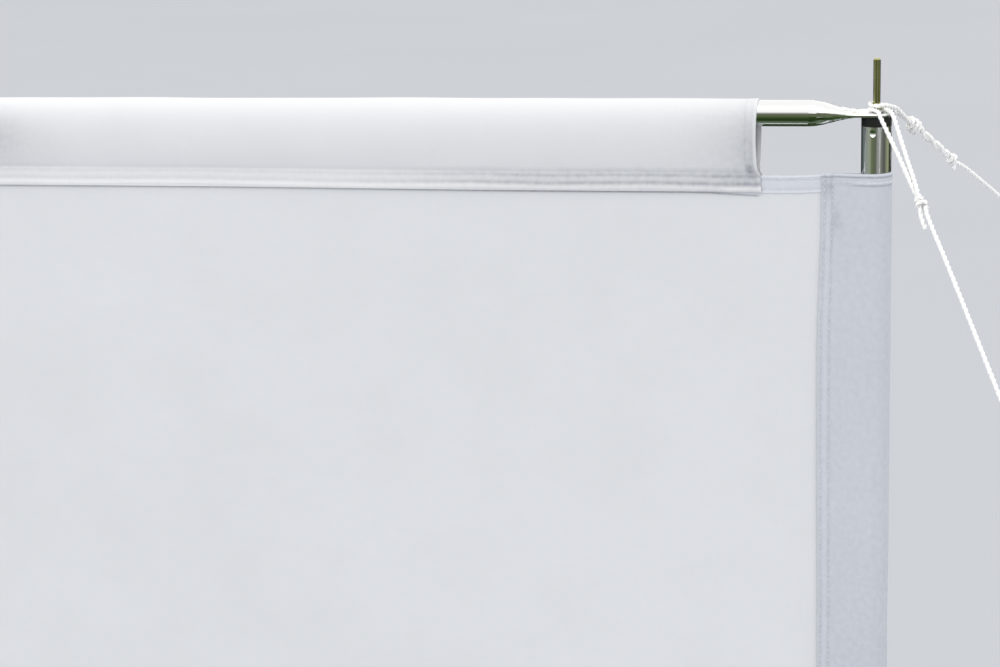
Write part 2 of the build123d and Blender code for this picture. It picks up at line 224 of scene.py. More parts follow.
def polished_tube(tree, value, along):
    """Chrome-plated steel tube: a mirror with faint lines from drawing along it, and a few dull wipes."""
    place = add_node(tree, "TexCoord")
    stretch = [2.0 if axis == along else 700.0 for axis in "XYZ"]
    drawn = add_node(tree, "Mapping", {"Vector": (place, "Object"), "Scale": stretch})
    lines = add_node(tree, "TexNoise", {"Vector": (drawn, 0), "Scale": 1.0, "Detail": 3.0})
    wipes = add_node(tree, "TexNoise", {"Vector": (place, "Object"), "Scale": 26.0, "Detail": 4.0})
    both = add_node(tree, "Math", {0: (lines, 0), 1: (wipes, 0)}, operation="MULTIPLY")
    dull = add_node(tree, "MapRange", {"Value": (both, 0), "From Min": 0.1, "From Max": 0.5,
                                                 "To Min": 0.035, "To Max": 0.13})
    bump = add_node(tree, "Bump", {"Height": (lines, 0), "Strength": 0.05, "Distance": 0.0001})
    return add_node(tree, "BsdfPrincipled", {
        "Base Color": tone(value, 1.0), "Metallic": 1.0, "Roughness": (dull, 0), "Normal": (bump, 0)})


def worn_metal(tree, value, grain, low, high):
    """Plated or galvanised rod: a metal with patchy tone and a fine grain that dulls it."""
    place = add_node(tree, "TexCoord")
    patch = add_node(tree, "TexNoise", {"Vector": (place, "Object"), "Scale": 1 / grain, "Detail": 5.0,
                                                  "Roughness": 0.65})
    shade = add_node(tree, "ValToRGB", {"Fac": (patch, 0)},
                     stops=((0.3, tone(value, 0.80)), (0.65, tone(value, 1.0))))
    dull = add_node(tree, "MapRange", {"Value": (patch, 0), "To Min": low, "To Max": high})
    bump = add_node(tree, "Bump", {"Height": (patch, 0), "Strength": 0.15, "Distance": 0.0001})
    return add_node(tree, "BsdfPrincipled", {
        "Base Color": (shade, 0), "Metallic": 1.0, "Roughness": (dull, 0), "Normal": (bump, 0)})


def moulded_plastic(tree, value, roughness):
    """Moulded polyethylene: an even colour, a fine spark-eroded grain and soft scuffs."""
    place = add_node(tree, "TexCoord")
    grain = add_node(tree, "TexNoise", {"Vector": (place, "Object"), "Scale": 1600.0, "Detail": 2.0})
    scuff = add_node(tree, "TexNoise", {"Vector": (place, "Object"), "Scale": 120.0, "Detail": 5.0})
    shade = add_node(tree, "ValToRGB", {"Fac": (scuff, 0)},
                     stops=((0.0, tone(value, 0.85)), (1.0, tone(value, 1.2))))
    dull = add_node(tree, "MapRange", {"Value": (scuff, 0), "To Min": roughness - 0.1,
                                                 "To Max": roughness + 0.1})
    bump = add_node(tree, "Bump", {"Height": (grain, 0), "Strength": 0.25, "Distance": 0.00012})
    return add_node(tree, "BsdfPrincipled", {
        "Base Color": (shade, 0), "Roughness": (dull, 0), "Normal": (bump, 0)})


def laid_polypropylene(tree, value, fibre):
    """Laid rope or thread: bright fibres along the strands that let a little light through."""
    uv = add_node(tree, "UVMap", uv_map="cloth")
    stretch = add_node(tree, "Mapping", {"Vector": (uv, "UV"), "Scale": (0.12 / fibre, 1 / fibre, 1.0)})
    strands = add_node(tree, "TexNoise", {"Vector": (stretch, 0), "Scale": 1.0, "Detail": 3.0,
                                                    "Roughness": 0.6})
    shade = add_node(tree, "ValToRGB", {"Fac": (strands, 0)},
                     stops=((0.3, tone(value, 0.90)), (0.55, tone(value, 1.0))))
    bump = add_node(tree, "Bump", {"Height": (strands, 0), "Strength": 0.35, "Distance": 0.0002})
    return add_node(tree, "BsdfPrincipled", {
        "Base Color": (shade, 0), "Roughness": 0.6, "Normal": (bump, 0), "Sheen Weight": 0.25,
        "Sheen Roughness": 0.4, "Subsurface Weight": 0.6, "Subsurface Radius": (1.0, 1.0, 1.0),
        "Subsurface Scale": 0.0012})


def woven_webbing(tree, value, rib):
    """Polyester webbing: raised ribs along its length, crossed by fine picks."""
    uv = add_node(tree, "UVMap", uv_map="cloth")
    ribs = add_node(tree, "TexWave", {"Vector": (uv, "UV"), "Scale": ONE_BAND / rib},
                    bands_direction="Y")
    picks = add_node(tree, "TexWave", {"Vector": (uv, "UV"), "Scale": ONE_BAND / (rib * 0.7),
                                                 "Distortion": 1.0}, bands_direction="X")
    weave = add_node(tree, "Math", {0: (ribs, 1), 1: (picks, 1)}, operation="MULTIPLY")
    shade = add_node(tree, "ValToRGB", {"Fac": (weave, 0)},
                     stops=((0.0, tone(value, 0.84)), (1.0, tone(value, 1.0))))
    bump = add_node(tree, "Bump", {"Height": (weave, 0), "Strength": 0.6, "Distance": 0.0003})
    return add_node(tree, "BsdfPrincipled", {
        "Base Color": (shade, 0), "Roughness": 0.72, "Normal": (bump, 0), "Sheen Weight": 0.1})


def add_object(name, data):
    """Make an object and put it in the scene."""
    made = bpy.data.objects.new(name, data)
    bpy.context.scene.collection.objects.link(made)
    return made


def tube(radius, sides, levels, x=0.0, y=0.0):
    """Points and faces of an open tube that stands between two levels."""
    turns = [2 * math.pi * k / sides for k in range(sides)]
    points = [(x + radius * math.cos(turn), y + radius * math.sin(turn), z) for z in levels for turn in turns]
    faces = [(k, (k + 1) % sides, sides + (k + 1) % sides, sides + k) for k in range(sides)]
    return points, faces


def add_piece(name, points, faces, material, uvs=None, sharp=40.0, soil=None):
    """Make a mesh object, smooth except over sharp edges, and let it ride on the frame."""
    mesh = bpy.data.meshes.new(name)
    mesh.from_pydata(points, [], faces)
    if uvs:
        layer = mesh.uv_layers.new(name="cloth")
        flat = []
        for face in faces:
            for corner in face:
                flat.extend(uvs[corner])
        layer.data.foreach_set("uv", flat)
    # Share of painted shade at each point, which the cloth material mixes in
    if soil:
        layer = mesh.attributes.new("soil", "FLOAT", "POINT")
        layer.data.foreach_set("value", soil)
    mesh.materials.append(material)
    mesh.shade_smooth()
    mesh.set_sharp_from_angle(angle=math.radians(sharp))
    piece = add_object(name, mesh)
    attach(piece, "root")
    return piece


def cloth_shell(name, rows, thickness, material, soil=None):
    """Closed shell of cloth about a grid of points, with rounded edges; soil is the share of painted shade, 0
    to 1, at each point.
    """
    count = len(rows)
    width = len(rows[0])
    half = thickness / 2
    outer = []
    inner = []
    uvs = []
    along = 0.0
    for i, row in enumerate(rows):
        before = rows[max(i - 1, 0)]
        after = rows[min(i + 1, count - 1)]
        if i:
            along += (row[width // 2] - rows[i - 1][width // 2]).length
        across = 0.0
        for j, point in enumerate(row):
            if j:
                across += (point - row[j - 1]).length
            lengthwise = after[j] - before[j]
            crosswise = row[min(j + 1, width - 1)] - row[max(j - 1, 0)]
            normal = lengthwise.cross(crosswise).normalized()
            outer.append(point + normal * half)
            inner.append(point - normal * half)
            uvs.append((along, across))
    points = outer + inner
    uvs = uvs + uvs
    layer = count * width
    faces = []
    for i in range(count - 1):
        for j in range(width - 1):
            a = i * width + j
            b = a + width
            faces.append((a, b, b + 1, a + 1))
            faces.append((layer + a, layer + a + 1, layer + b + 1, layer + b))
    ring = [(0, j) for j in range(width)] + [(i, width - 1) for i in range(1, count)]
    ring += [(count - 1, j) for j in range(width - 2, -1, -1)] + [(i, 0) for i in range(count - 2, 0, -1)]
    rim = []
    for i, j in ring:
        across = Vector((0.0, 0.0, 0.0))
        if i in (0, count - 1):
            across += (rows[i][j] - rows[min(max(i, 1), count - 2)][j]).normalized()
        if j in (0, width - 1):
            across += (rows[i][j] - rows[i][min(max(j, 1), width - 2)]).normalized()
        rim.append(len(points))
        points.append(rows[i][j] + across.normalized() * half)
        uvs.append(uvs[i * width + j])
    shade_amount = None
    if soil:
        flat = [value for row in soil for value in row]
        shade_amount = flat + flat + [soil[i][j] for i, j in ring]
    total = len(ring)
    for k in range(total):
        i, j = ring[k]
        m, n = ring[(k + 1) % total]
        a = i * width + j
        b = m * width + n
        faces.append((a, b, rim[(k + 1) % total], rim[k]))
        faces.append((rim[k], rim[(k + 1) % total], layer + b, layer + a))
    return add_piece(name, points, faces, material, uvs, soil=shade_amount)


def bell(value, middle, wide):
    """A bell curve: 1 at the middle, fading over a width."""
    share = (value - middle) / wide
    return math.exp(-share * share)


def ridges(value, table):
    """Height of a set of bell-shaped ridges, each given as (height, middle, width)."""
    return sum(high * bell(value, middle, wide) for high, middle, wide in table)


def within(value, low, high):
    """A value kept between two others."""
    return min(max(value, low), high)


def spaced(start, end, pace, fine, margin):
    """Places from start to end, a pace apart, and finer within a margin of both ends."""
    places = [start]
    while places[-1] < end - fine / 2:
        here = places[-1]
        near = min(here - start, end - here) < margin
        places.append(min(here + (fine if near else pace), end))
    places[-1] = end
    return places


def ease(number):
    """How many times wider the mesh is spaced: the first bay is the one that is seen close up."""
    return 1.0 if number == 0 else 1.8


class Swell:
    """Slow swell of taut cloth: a few sine waves that never line up."""

    def __init__(self, seed, long, high):
        dice = random.Random(seed)
        self.waves = []
        for number in range(6):
            angle = dice.uniform(-math.pi, math.pi)
            pace = 2 * math.pi / (long * dice.uniform(0.55, 1.6))
            phase = dice.uniform(0, 6.28)
            self.waves.append((pace * math.cos(angle), pace * math.sin(angle), phase, high / 3))

    def __call__(self, along, across):
        return sum(high * math.sin(x * along + y * across + phase) for x, y, phase, high in self.waves)


class Puckers:
    """Gathers beside a row of stitches: small leaning ridges of uneven size."""

    def __init__(self, seed, end, spacing, across, reach, wide, high):
        dice = random.Random(seed)
        self.bins = {}
        self.spacing = spacing
        place = 0.0
        while place < end:
            place += spacing * dice.uniform(0.4, 1.6)
            ridge = (place, across + dice.uniform(-0.25, 0.25) * reach, reach * dice.uniform(0.6, 1.3),
                     wide * dice.uniform(0.6, 1.5), dice.uniform(-0.7, 0.7), high * dice.uniform(-1.0, 1.0))
            for neighbour in range(-2, 3):
                self.bins.setdefault(int(place / spacing) + neighbour, []).append(ridge)

    def __call__(self, along, across):
        total = 0.0
        for place, middle, reach, wide, lean, high in self.bins.get(int(along / self.spacing), ()):
            down = (across - middle) / reach
            side = (along - place - lean * (across - middle)) / wide
            total += high * math.exp(-down * down * 2 - side * side)
        return total


def step(value, edge, soft):
    """0 below an edge and 1 above it, with a soft rise."""
    share = within((value - edge) / soft + 0.5, 0.0, 1.0)
    return share * share * (3 - 2 * share)


class FoldedSection:
    """Section of cloth folded round a tube, from the free edge of one lap to the free edge of the other.

    With a slack of 0 it is pulled straight from the tube to the lap; with more, it stands off in a belly.
    """

    def __init__(self, radius, reach, lap, side, slack):
        # The cloth leaves the tube at one angle and arrives at the lap's knee at the other
        knee = Vector((reach - lap, side))
        taut = math.atan2(side, knee.x) + math.acos(radius / knee.length)
        leaves = taut + 1.15 * slack
        arrives = taut - 0.32 * slack
        touch = Vector((radius * math.cos(leaves), radius * math.sin(leaves)))
        span = (knee - touch).length
        near_touch = touch + 0.27 * span * Vector((math.sin(leaves), -math.cos(leaves)))
        near_knee = knee - 0.34 * span * Vector((math.sin(arrives), -math.cos(arrives)))
        half = [(reach - lap * k / 10, side) for k in range(10)]
        for k in range(24):
            share = k / 24
            left = 1 - share
            half.append(tuple(left ** 3 * knee + 3 * share * left * left * near_knee
                              + 3 * share * share * left * near_touch + share ** 3 * touch))
        for k in range(17):
            turn = leaves + (math.pi - leaves) * k / 16
            half.append((radius * math.cos(turn), radius * math.sin(turn)))
        self.points = half + [(a, -b) for a, b in half[-2::-1]]
        self.reached = [0.0]
        for first, second in zip(self.points, self.points[1:]):
            self.reached.append(self.reached[-1] + math.dist(first, second))
        self.length = self.reached[-1]

    def at(self, distance):
        """Point and outward normal at a distance along the section."""
        k = min(max(bisect_right(self.reached, distance) - 1, 0), len(self.points) - 2)
        first, second = self.points[k], self.points[k + 1]
        run = self.reached[k + 1] - self.reached[k]
        share = (distance - self.reached[k]) / run
        ahead = ((second[0] - first[0]) / run, (second[1] - first[1]) / run)
        point = (first[0] + ahead[0] * share * run, first[1] + ahead[1] * share * run)
        return point, (ahead[1], -ahead[0])


def stitch_row(stitches, place, ends, size, lift):
    """Add a row of stitches: place(distance) gives a point and the outward normal of the cloth."""
    start, end = ends
    count = max(int(abs(end - start) / size.stitch_pitch), 1)
    pace = (end - start) / count
    long = size.stitch_length * (1 if end > start else -1)
    for number in range(count):
        middle = start + (number + 0.5) * pace
        first = place(middle - long / 2)[0]
        second, normal = place(middle + long / 2)
        ahead = second - first
        side = ahead.cross(normal).normalized() * size.thread * 0.5
        up = normal * size.thread * 0.5
        base = normal * lift
        stitches.append((first + base - up * 0.6, second + base - up * 0.6, ahead, side, up))


def stitch_piece(name, stitches, number=0):
    """One mesh of thread: each stitch is a short grain that dips into the cloth at its ends.

    Number 0 is seen close up and has two cross-sections a stitch; the others have one.
    """
    shares = (0.22, 0.78) if number == 0 else (0.5,)
    points = []
    faces = []
    uvs = []
    for first, second, ahead, side, up in stitches:
        base = len(points)
        points.append(first)
        uvs.append((0.0, 0.0))
        for share in shares:
            middle = first + ahead * share + up * 0.5
            for turn, (a, b) in enumerate(((1, 0), (0, 1.4), (-1, 0))):
                points.append(middle + side * a + up * b)
                uvs.append((share * 0.003, turn * 0.0005))
        points.append(second)
        uvs.append((0.003, 0.0))
        tip = len(points) - 1
        for k in range(3):
            n = (k + 1) % 3
            faces.append((base, base + 1 + n, base + 1 + k))
            if len(shares) == 2:
                faces.append((base + 1 + k, base + 1 + n, base + 4 + n, base + 4 + k))
            faces.append((tip, tip - 3 + k, tip - 3 + n))
    return add_piece(name, points, faces, thread_material(), uvs, sharp=80.0)


def stations(size):
    """X of each upright, from the right-hand end."""
    return [-size.bay_width * number for number in range(size.bay_count + 1)]


def bay_lift(size, bay):
    """Extra height of a bay's rail: every second rail lies on its neighbours' tabs."""
    return size.tab_thickness if bay % 2 == 1 else 0.0


# Each cloth's name, the width of its drawn threads, its roughness and the depth of its creases
CLOTHS = {
    "panel": ("woven polyester, panel", 0.0016, 0.78, 0.10),
    "border": ("woven polyester, border", 0.0014, 0.72, 0.16),
    "band": ("woven polyester, top band", 0.0014, 0.72, 0.16),
    "sleeve": ("coated polyester, rail sleeve", 0.0014, 0.62, 0.14),
}


def cloth_material(kind):
    """The material of one kind of cloth, made once and shared by its pieces."""
    name, *looks = CLOTHS[kind]
    tint = bpy.context.scene.windbreak_colours
    made = bpy.data.materials.get(name)
    return made or new_material(name, woven_polyester, getattr(tint, kind), tint.soil, *looks)


def thread_material():
    """The material of the sewing thread, made once and shared by all stitches."""
    name = "polyester sewing thread"
    tint = bpy.context.scene.windbreak_colours
    return bpy.data.materials.get(name) or new_material(name, laid_polypropylene, tint.thread, 0.0004)


def corner_sag(inward):
    """Drop of a panel's top edge near its corners, at a distance in from its side edge."""
    return (3.0 * (1 - step(inward, 0.085, 0.06)) - 1.6 * (1 - step(inward, 0.015, 0.04))) * MM


def towards_end(tail):
    """1 near the ends of a rail sleeve and 0 along its middle, at a distance in from its end."""
    return 1 - step(tail, 0.27, 0.24)


def lap_lift(tail):
    """Rise of the rail sleeve's lap along the middle of a bay, at a distance in from the sleeve's end."""
    return 1.3 * MM * step(tail, 0.35, 0.30)


class WINDBREAK_OT_panels(bpy.types.Operator):
    """Make the cloth panels with their top band and bottom hem"""
    bl_idname = "windbreak.panels"
    bl_label = "Panels"

    # Rows of stitches in from both edges of a band
    row_inset = 0.0031

    def execute(self, context):
        size = context.scene.windbreak_sizes
        for bay, right in enumerate(stations(size)[:-1]):
            self.panel(size, bay, right)
        return {"FINISHED"}

    def panel(self, size, bay, right):
        name = f"panel_{bay + 1}"
        wide = size.bay_width - 2 * size.panel_inset
        tall = size.panel_top - size.panel_bottom
        swell = Swell(40 + bay, 0.42, 0.00028)
        gathers = Puckers(50 + bay, wide, 0.022, size.top_hem + 0.010, 0.018, 0.004, 0.00022)

        def place(inward, drop):
            x = right - size.panel_inset - inward
            depth = min(drop, tall - drop) / 0.1
            side = swell(inward, drop) * min(depth, 1.0) + gathers(inward, drop)
            nearest = min(inward, wide - inward)
            sag = corner_sag(nearest) * max(1 - drop / 0.2, 0.0)
            return Vector((x, side, size.panel_top - drop - sag))

        under_lap = size.rail_sleeve_overlap + 0.0011
        lap_end = size.rail_sleeve_setback - size.panel_inset

        def soil(inward, drop):
            """Painted shadow: a thin dark line just below the rail sleeve's lap, darker towards the sleeve's
            ends.
            """
            tail = min(inward, wide - inward) - lap_end
            most = 0.42 + 0.34 * towards_end(tail)
            return most * bell(drop, under_lap - lap_lift(tail), 0.0009) * step(tail, 0.0, 0.004)

        coarse = ease(bay)
        columns = spaced(0.0, wide, 0.016 * coarse, 0.007 * coarse, 0.07)
        columns += [end + side for end in (lap_end, wide - lap_end) for side in (-0.002, 0.002)]
        drops = spaced(0.0008, tall - 0.0008, 0.020 * coarse, 0.005 * coarse, 0.04)
        # Finer rows just below the rail sleeve's lap carry the painted shadow line
        drops = sorted(drops + [under_lap + share * 0.0006 for share in range(-5, 4)])
        rows = [[place(inward, drop) for drop in drops] for inward in sorted(columns)]
        lap_shadow = [[soil(inward, drop) for drop in drops] for inward in sorted(columns)]
        piece = cloth_shell(f"{name}_cloth", rows, size.cloth, cloth_material("panel"), lap_shadow)
        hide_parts(name)
        bands = spaced(0.0, wide, 0.012 * coarse, 0.003 * coarse, 0.075)
        top = self.binding(f"{name}_top_band", size, place, bands, 0.0, size.top_hem, "band", bay)
        low = self.binding(f"{name}_bottom_hem", size, place, bands, tall, size.bottom_hem, "border", bay)
        stitches = []
        inset = self.row_inset
        for drop in (inset, size.top_hem - inset, tall - size.bottom_hem + inset, tall - inset):
            for face in (-1, 1):
                self.sew(stitches, size, place, drop, wide, face)
        sewn = stitch_piece(f"{name}_stitches", stitches, bay)

    def sew(self, stitches, size, place, drop, wide, face):
        lift = size.cloth * 1.25

        def along(inward):
            return place(inward, drop) + Vector((0, face * lift, 0)), Vector((0, face, 0))

        stitch_row(stitches, along, (0.003, wide - 0.003), size, 0.0)

    def binding(self, name, size, place, columns, edge, deep, kind, bay):
        """Band of cloth folded over an edge of the panel, rolled a little at its fold and its free edge."""
        half = size.cloth * 0.95
        ripple = Swell(70 + bay, 0.016, 0.00014)
        turn = -1 if edge > 0 else 1
        inset = self.row_inset
        rolls = [0.0, 0.0006, 0.0014, 0.0024, 0.0036, 0.0052]
        run = rolls + [deep / 2] + [deep - roll for roll in (0.0052, 0.0036, 0.0024, 0.0012, 0.0)]
        edges = ((1.0, 0.0010, 0.0016), (1.0, deep - 0.0010, 0.0015))
        beads = ((0.00040, 0.0014, 0.0009), (0.00040, deep - 0.0012, 0.0010))
        seams = ((1.0, inset, 0.0009), (1.0, deep - inset, 0.0009))
        rows = []
        shade_amount = []
        for inward in columns:
            row = []
            for face in (-1, 1):
                shares = run[::-1] if face == -1 else run[1:]
                for share in shares:
                    sewn = ridges(share, seams)
                    # Painted shade over the band except on its rolled fold and free edge, which so read as
                    # lit, and darker along its rows of stitches
                    shade_amount.append(0.15 * (1 - min(ridges(share, edges), 1.0)) + 0.20 * sewn)
                    middle = place(inward, edge + turn * max(share, 0.0008))
                    out = half * math.sqrt(min(share / 0.0012, 1.0)) + ripple(inward, share)
                    out += ridges(share, beads) - 0.00022 * sewn
                    rise = 0.0006 if share == 0.0 else 0.0
                    row.append(middle + Vector((0, face * out * (share > 0), turn * rise)))
            rows.append(row)
        wide = len(rows[0])
        soil = [shade_amount[k:k + wide] for k in range(0, len(shade_amount), wide)]
        piece = cloth_shell(name, rows, size.cloth * 0.7, cloth_material(kind), soil)
        return piece


class WINDBREAK_OT_rail_sleeves(bpy.types.Operator):
    """Make the cloth sleeves folded over the rails"""
    bl_idname = "windbreak.rail_sleeves"
    bl_label = "Rail sleeves"

    # Rows of stitches above the lap's edge, and in from the end
    lower_row = 0.0062
    upper_row = 0.0126
    end_row = 0.0092
    # Ridges of the lap and of the end, and the painted shade along the rows, as (height, middle, width)
    lap_ridges = ((0.00030, 0.0022, 0.0014), (0.00026, 0.0095, 0.0020), (-0.00036, lower_row, 0.0011),
                  (-0.00036, upper_row, 0.0012))
    end_ridges = ((0.00040, 0.0010, 0.0010), (-0.00022, end_row, 0.0011))
    dirty_rows = ((0.30, lower_row, 0.0016), (0.24, upper_row, 0.0016))
    # The dent in the first bay's front: in from the sleeve's end
    dent = 0.662

    def execute(self, context):
        size = context.scene.windbreak_sizes
        for bay, right in enumerate(stations(size)[:-1]):
            self.sleeve(size, bay, right)
        return {"FINISHED"}

    def sleeve(self, size, bay, right):
        name = f"rail_sleeve_{bay + 1}"
        long = size.bay_width - 2 * size.rail_sleeve_setback
        level = size.rail_height + bay_lift(size, bay)
        reach = level - size.panel_top + size.rail_sleeve_overlap
        radius = size.rail_diameter / 2 + TUBE_GAP + size.cloth / 2
        section = FoldedSection(radius, reach, size.rail_sleeve_overlap, size.lap_side, 1.0)
        half = section.length / 2
        on_rail = 0.072
        swell = Swell(10 + bay, 0.19, 0.00032)
        belly = Swell(13 + bay, 0.60, 0.0008)
        wander = Swell(16 + bay, 0.17, 0.0008)
        gathers = [(Puckers(20 + bay + 3 * face, long, 0.0085, 0.0155, 0.0065, 0.0030, 0.00060),
                    Puckers(40 + bay + 3 * face, long, 0.0075, 0.0066, 0.0030, 0.0026, 0.00032))
                   for face in (0, 1)]
        end_gathers = Puckers(33 + bay, section.length, 0.0075, 0.0125, 0.0050, 0.0024, 0.00066)

        def inset(inward, around):
            """Distances in from the nearer lap's edge and from the nearer end."""
            return min(around, section.length - around), min(inward, long - inward)

        def unevenness(tail):
            """Share of the rolls and puckers: all of them towards the ends, and a third along the middle."""
            return 0.32 + 0.68 * towards_end(tail)

        def relief(inward, around):
            """How far the cloth stands out: rolls and puckers beside the stitches, and slow swells."""
            edge, tail = inset(inward, around)
            lap = edge - wander(inward, 0.0)
            share = unevenness(tail)
            upper, lower = gathers[around > half]
            out = 1.5 * (upper(inward, lap) + lower(inward, lap)) * share
            out += end_gathers(around, tail) * step(edge, 0.012, 0.02)
            out += 0.00036 * bell(lap, 0.0022, 0.0014) + share * ridges(lap, self.lap_ridges)
            out += 0.00055 * (1 - step(lap, 0.0036, 0.0044)) + ridges(tail, self.end_ridges)
            out += 0.00012 * (1 - step(tail, self.end_row, 0.0020))
            span = within((edge - 0.016) / 0.056, 0.0, 1.0)
            out += swell(inward, around) * step(edge, 0.024, 0.02)
            out += (belly(inward, around) - 0.0032 * math.exp(-tail / 0.045)) * math.sin(math.pi * span)
            if bay == 0 and around < half:
                out -= 0.0034 * bell(inward, self.dent, 0.030) * bell(edge, 0.046, 0.022)
            return max(out, -0.00025) if edge > on_rail else out

        # Painted shade: along the rows of stitches, over the whole lap, most towards the sleeve's ends and at
        # its end row, in a patch where the end hem meets the lap, and in the first bay's dent
        def soil(inward, around):
            edge, tail = inset(inward, around)
            lap = edge - wander(inward, 0.0)
            shade_amount = ridges(lap, self.dirty_rows)
            roll = 1 - step(lap, 0.0036, 0.0022)
            shade_amount += 0.22 * roll * step(tail, 0.030, 0.012) + 0.31 * (1 - roll - step(lap, 0.0185, 0.0060))
            shade_amount *= unevenness(tail)
            shade_amount += 0.07 * math.exp(-tail / 0.09)
            shade_amount += 0.50 * math.exp(-tail / 0.028) * bell(edge, 0.036, 0.034) * step(tail, 0.0021, 0.0014)
            shade_amount += 0.12 * bell(tail, self.end_row, 0.0012) * step(edge, 0.020, 0.010)
            shade_amount += 0.55 * bell(tail, 0.006, 0.0035) * bell(edge, 0.0195, 0.0035)
            if bay == 0 and around < half:
                away = math.hypot(inward - self.dent, 0.008)
                shade_amount += 0.46 * math.exp(-away / 0.028) * bell(edge, 0.039, 0.024)
            return within(shade_amount, 0.0, 1.0)

        def cut(edge, around):
            """The cut of the end: the lap runs on past the span, and the back hangs out beyond the front."""
            share = edge / half
            behind = 0.0036 * math.sin(math.pi * share) if around > half else 0.0
            return 0.0024 * math.sin(math.pi * share) - 0.0022 * (1 - step(edge, 0.0165, 0.004)) - behind

        def place(inward, around):
            (down, side), (down_out, side_out) = section.at(around)
            edge, tail = inset(inward, around)
            out = relief(inward, around)
            bow = cut(edge, around) * math.exp(-tail / 0.03)
            x = right - size.rail_sleeve_setback - inward - bow * (1 if inward < long / 2 else -1)
            lift = lap_lift(tail) * (1 - step(edge, 0.030, 0.03))
            return Vector((x, -(side + side_out * out), level - (down + down_out * out) + lift))

        coarse = ease(bay)
        columns = spaced(0.0, long, 0.0034 * coarse, 0.0010 * coarse, 0.012)
        arounds = spaced(0.0, section.length, 0.0042 * coarse, 0.0009 * coarse, 0.0165)
        rows = [[place(inward, around) for around in arounds] for inward in columns]
        shade_amount = [[soil(inward, around) for around in arounds] for inward in columns]
        piece = cloth_shell(f"{name}_cloth", rows, size.cloth, cloth_material("sleeve"), shade_amount)
        stitches = []
        self.sew(stitches, size, place, wander, section.length, long)
        sewn = stitch_piece(f"{name}_stitches", stitches, bay)
        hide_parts(name)

    def sew(self, stitches, size, place, wander, around_all, long):
        def surface(inward, around):
            middle = place(inward, around)
            back = 1 if inward < long / 2 else -1
            one = place(inward + back * NEARBY, around) - middle
            two = place(inward, min(around + NEARBY, around_all)) - place(inward, max(around - NEARBY, 0.0))
            return middle, (one.cross(two) * back).normalized()

        def lap_row(edge, back):
            def along(inward):
                height = edge + wander(inward, 0.0)
                return surface(inward, around_all - height if back else height)
            return along

        lift = size.cloth / 2
        for edge in (self.lower_row, self.upper_row):
            for back in (False, True):
                stitch_row(stitches, lap_row(edge, back), (0.002, long - 0.002), size, lift)
        for inward in (self.end_row, long - self.end_row):
            stitch_row(stitches, lambda around: surface(inward, around), (0.003, around_all - 0.003),
                       size, lift)


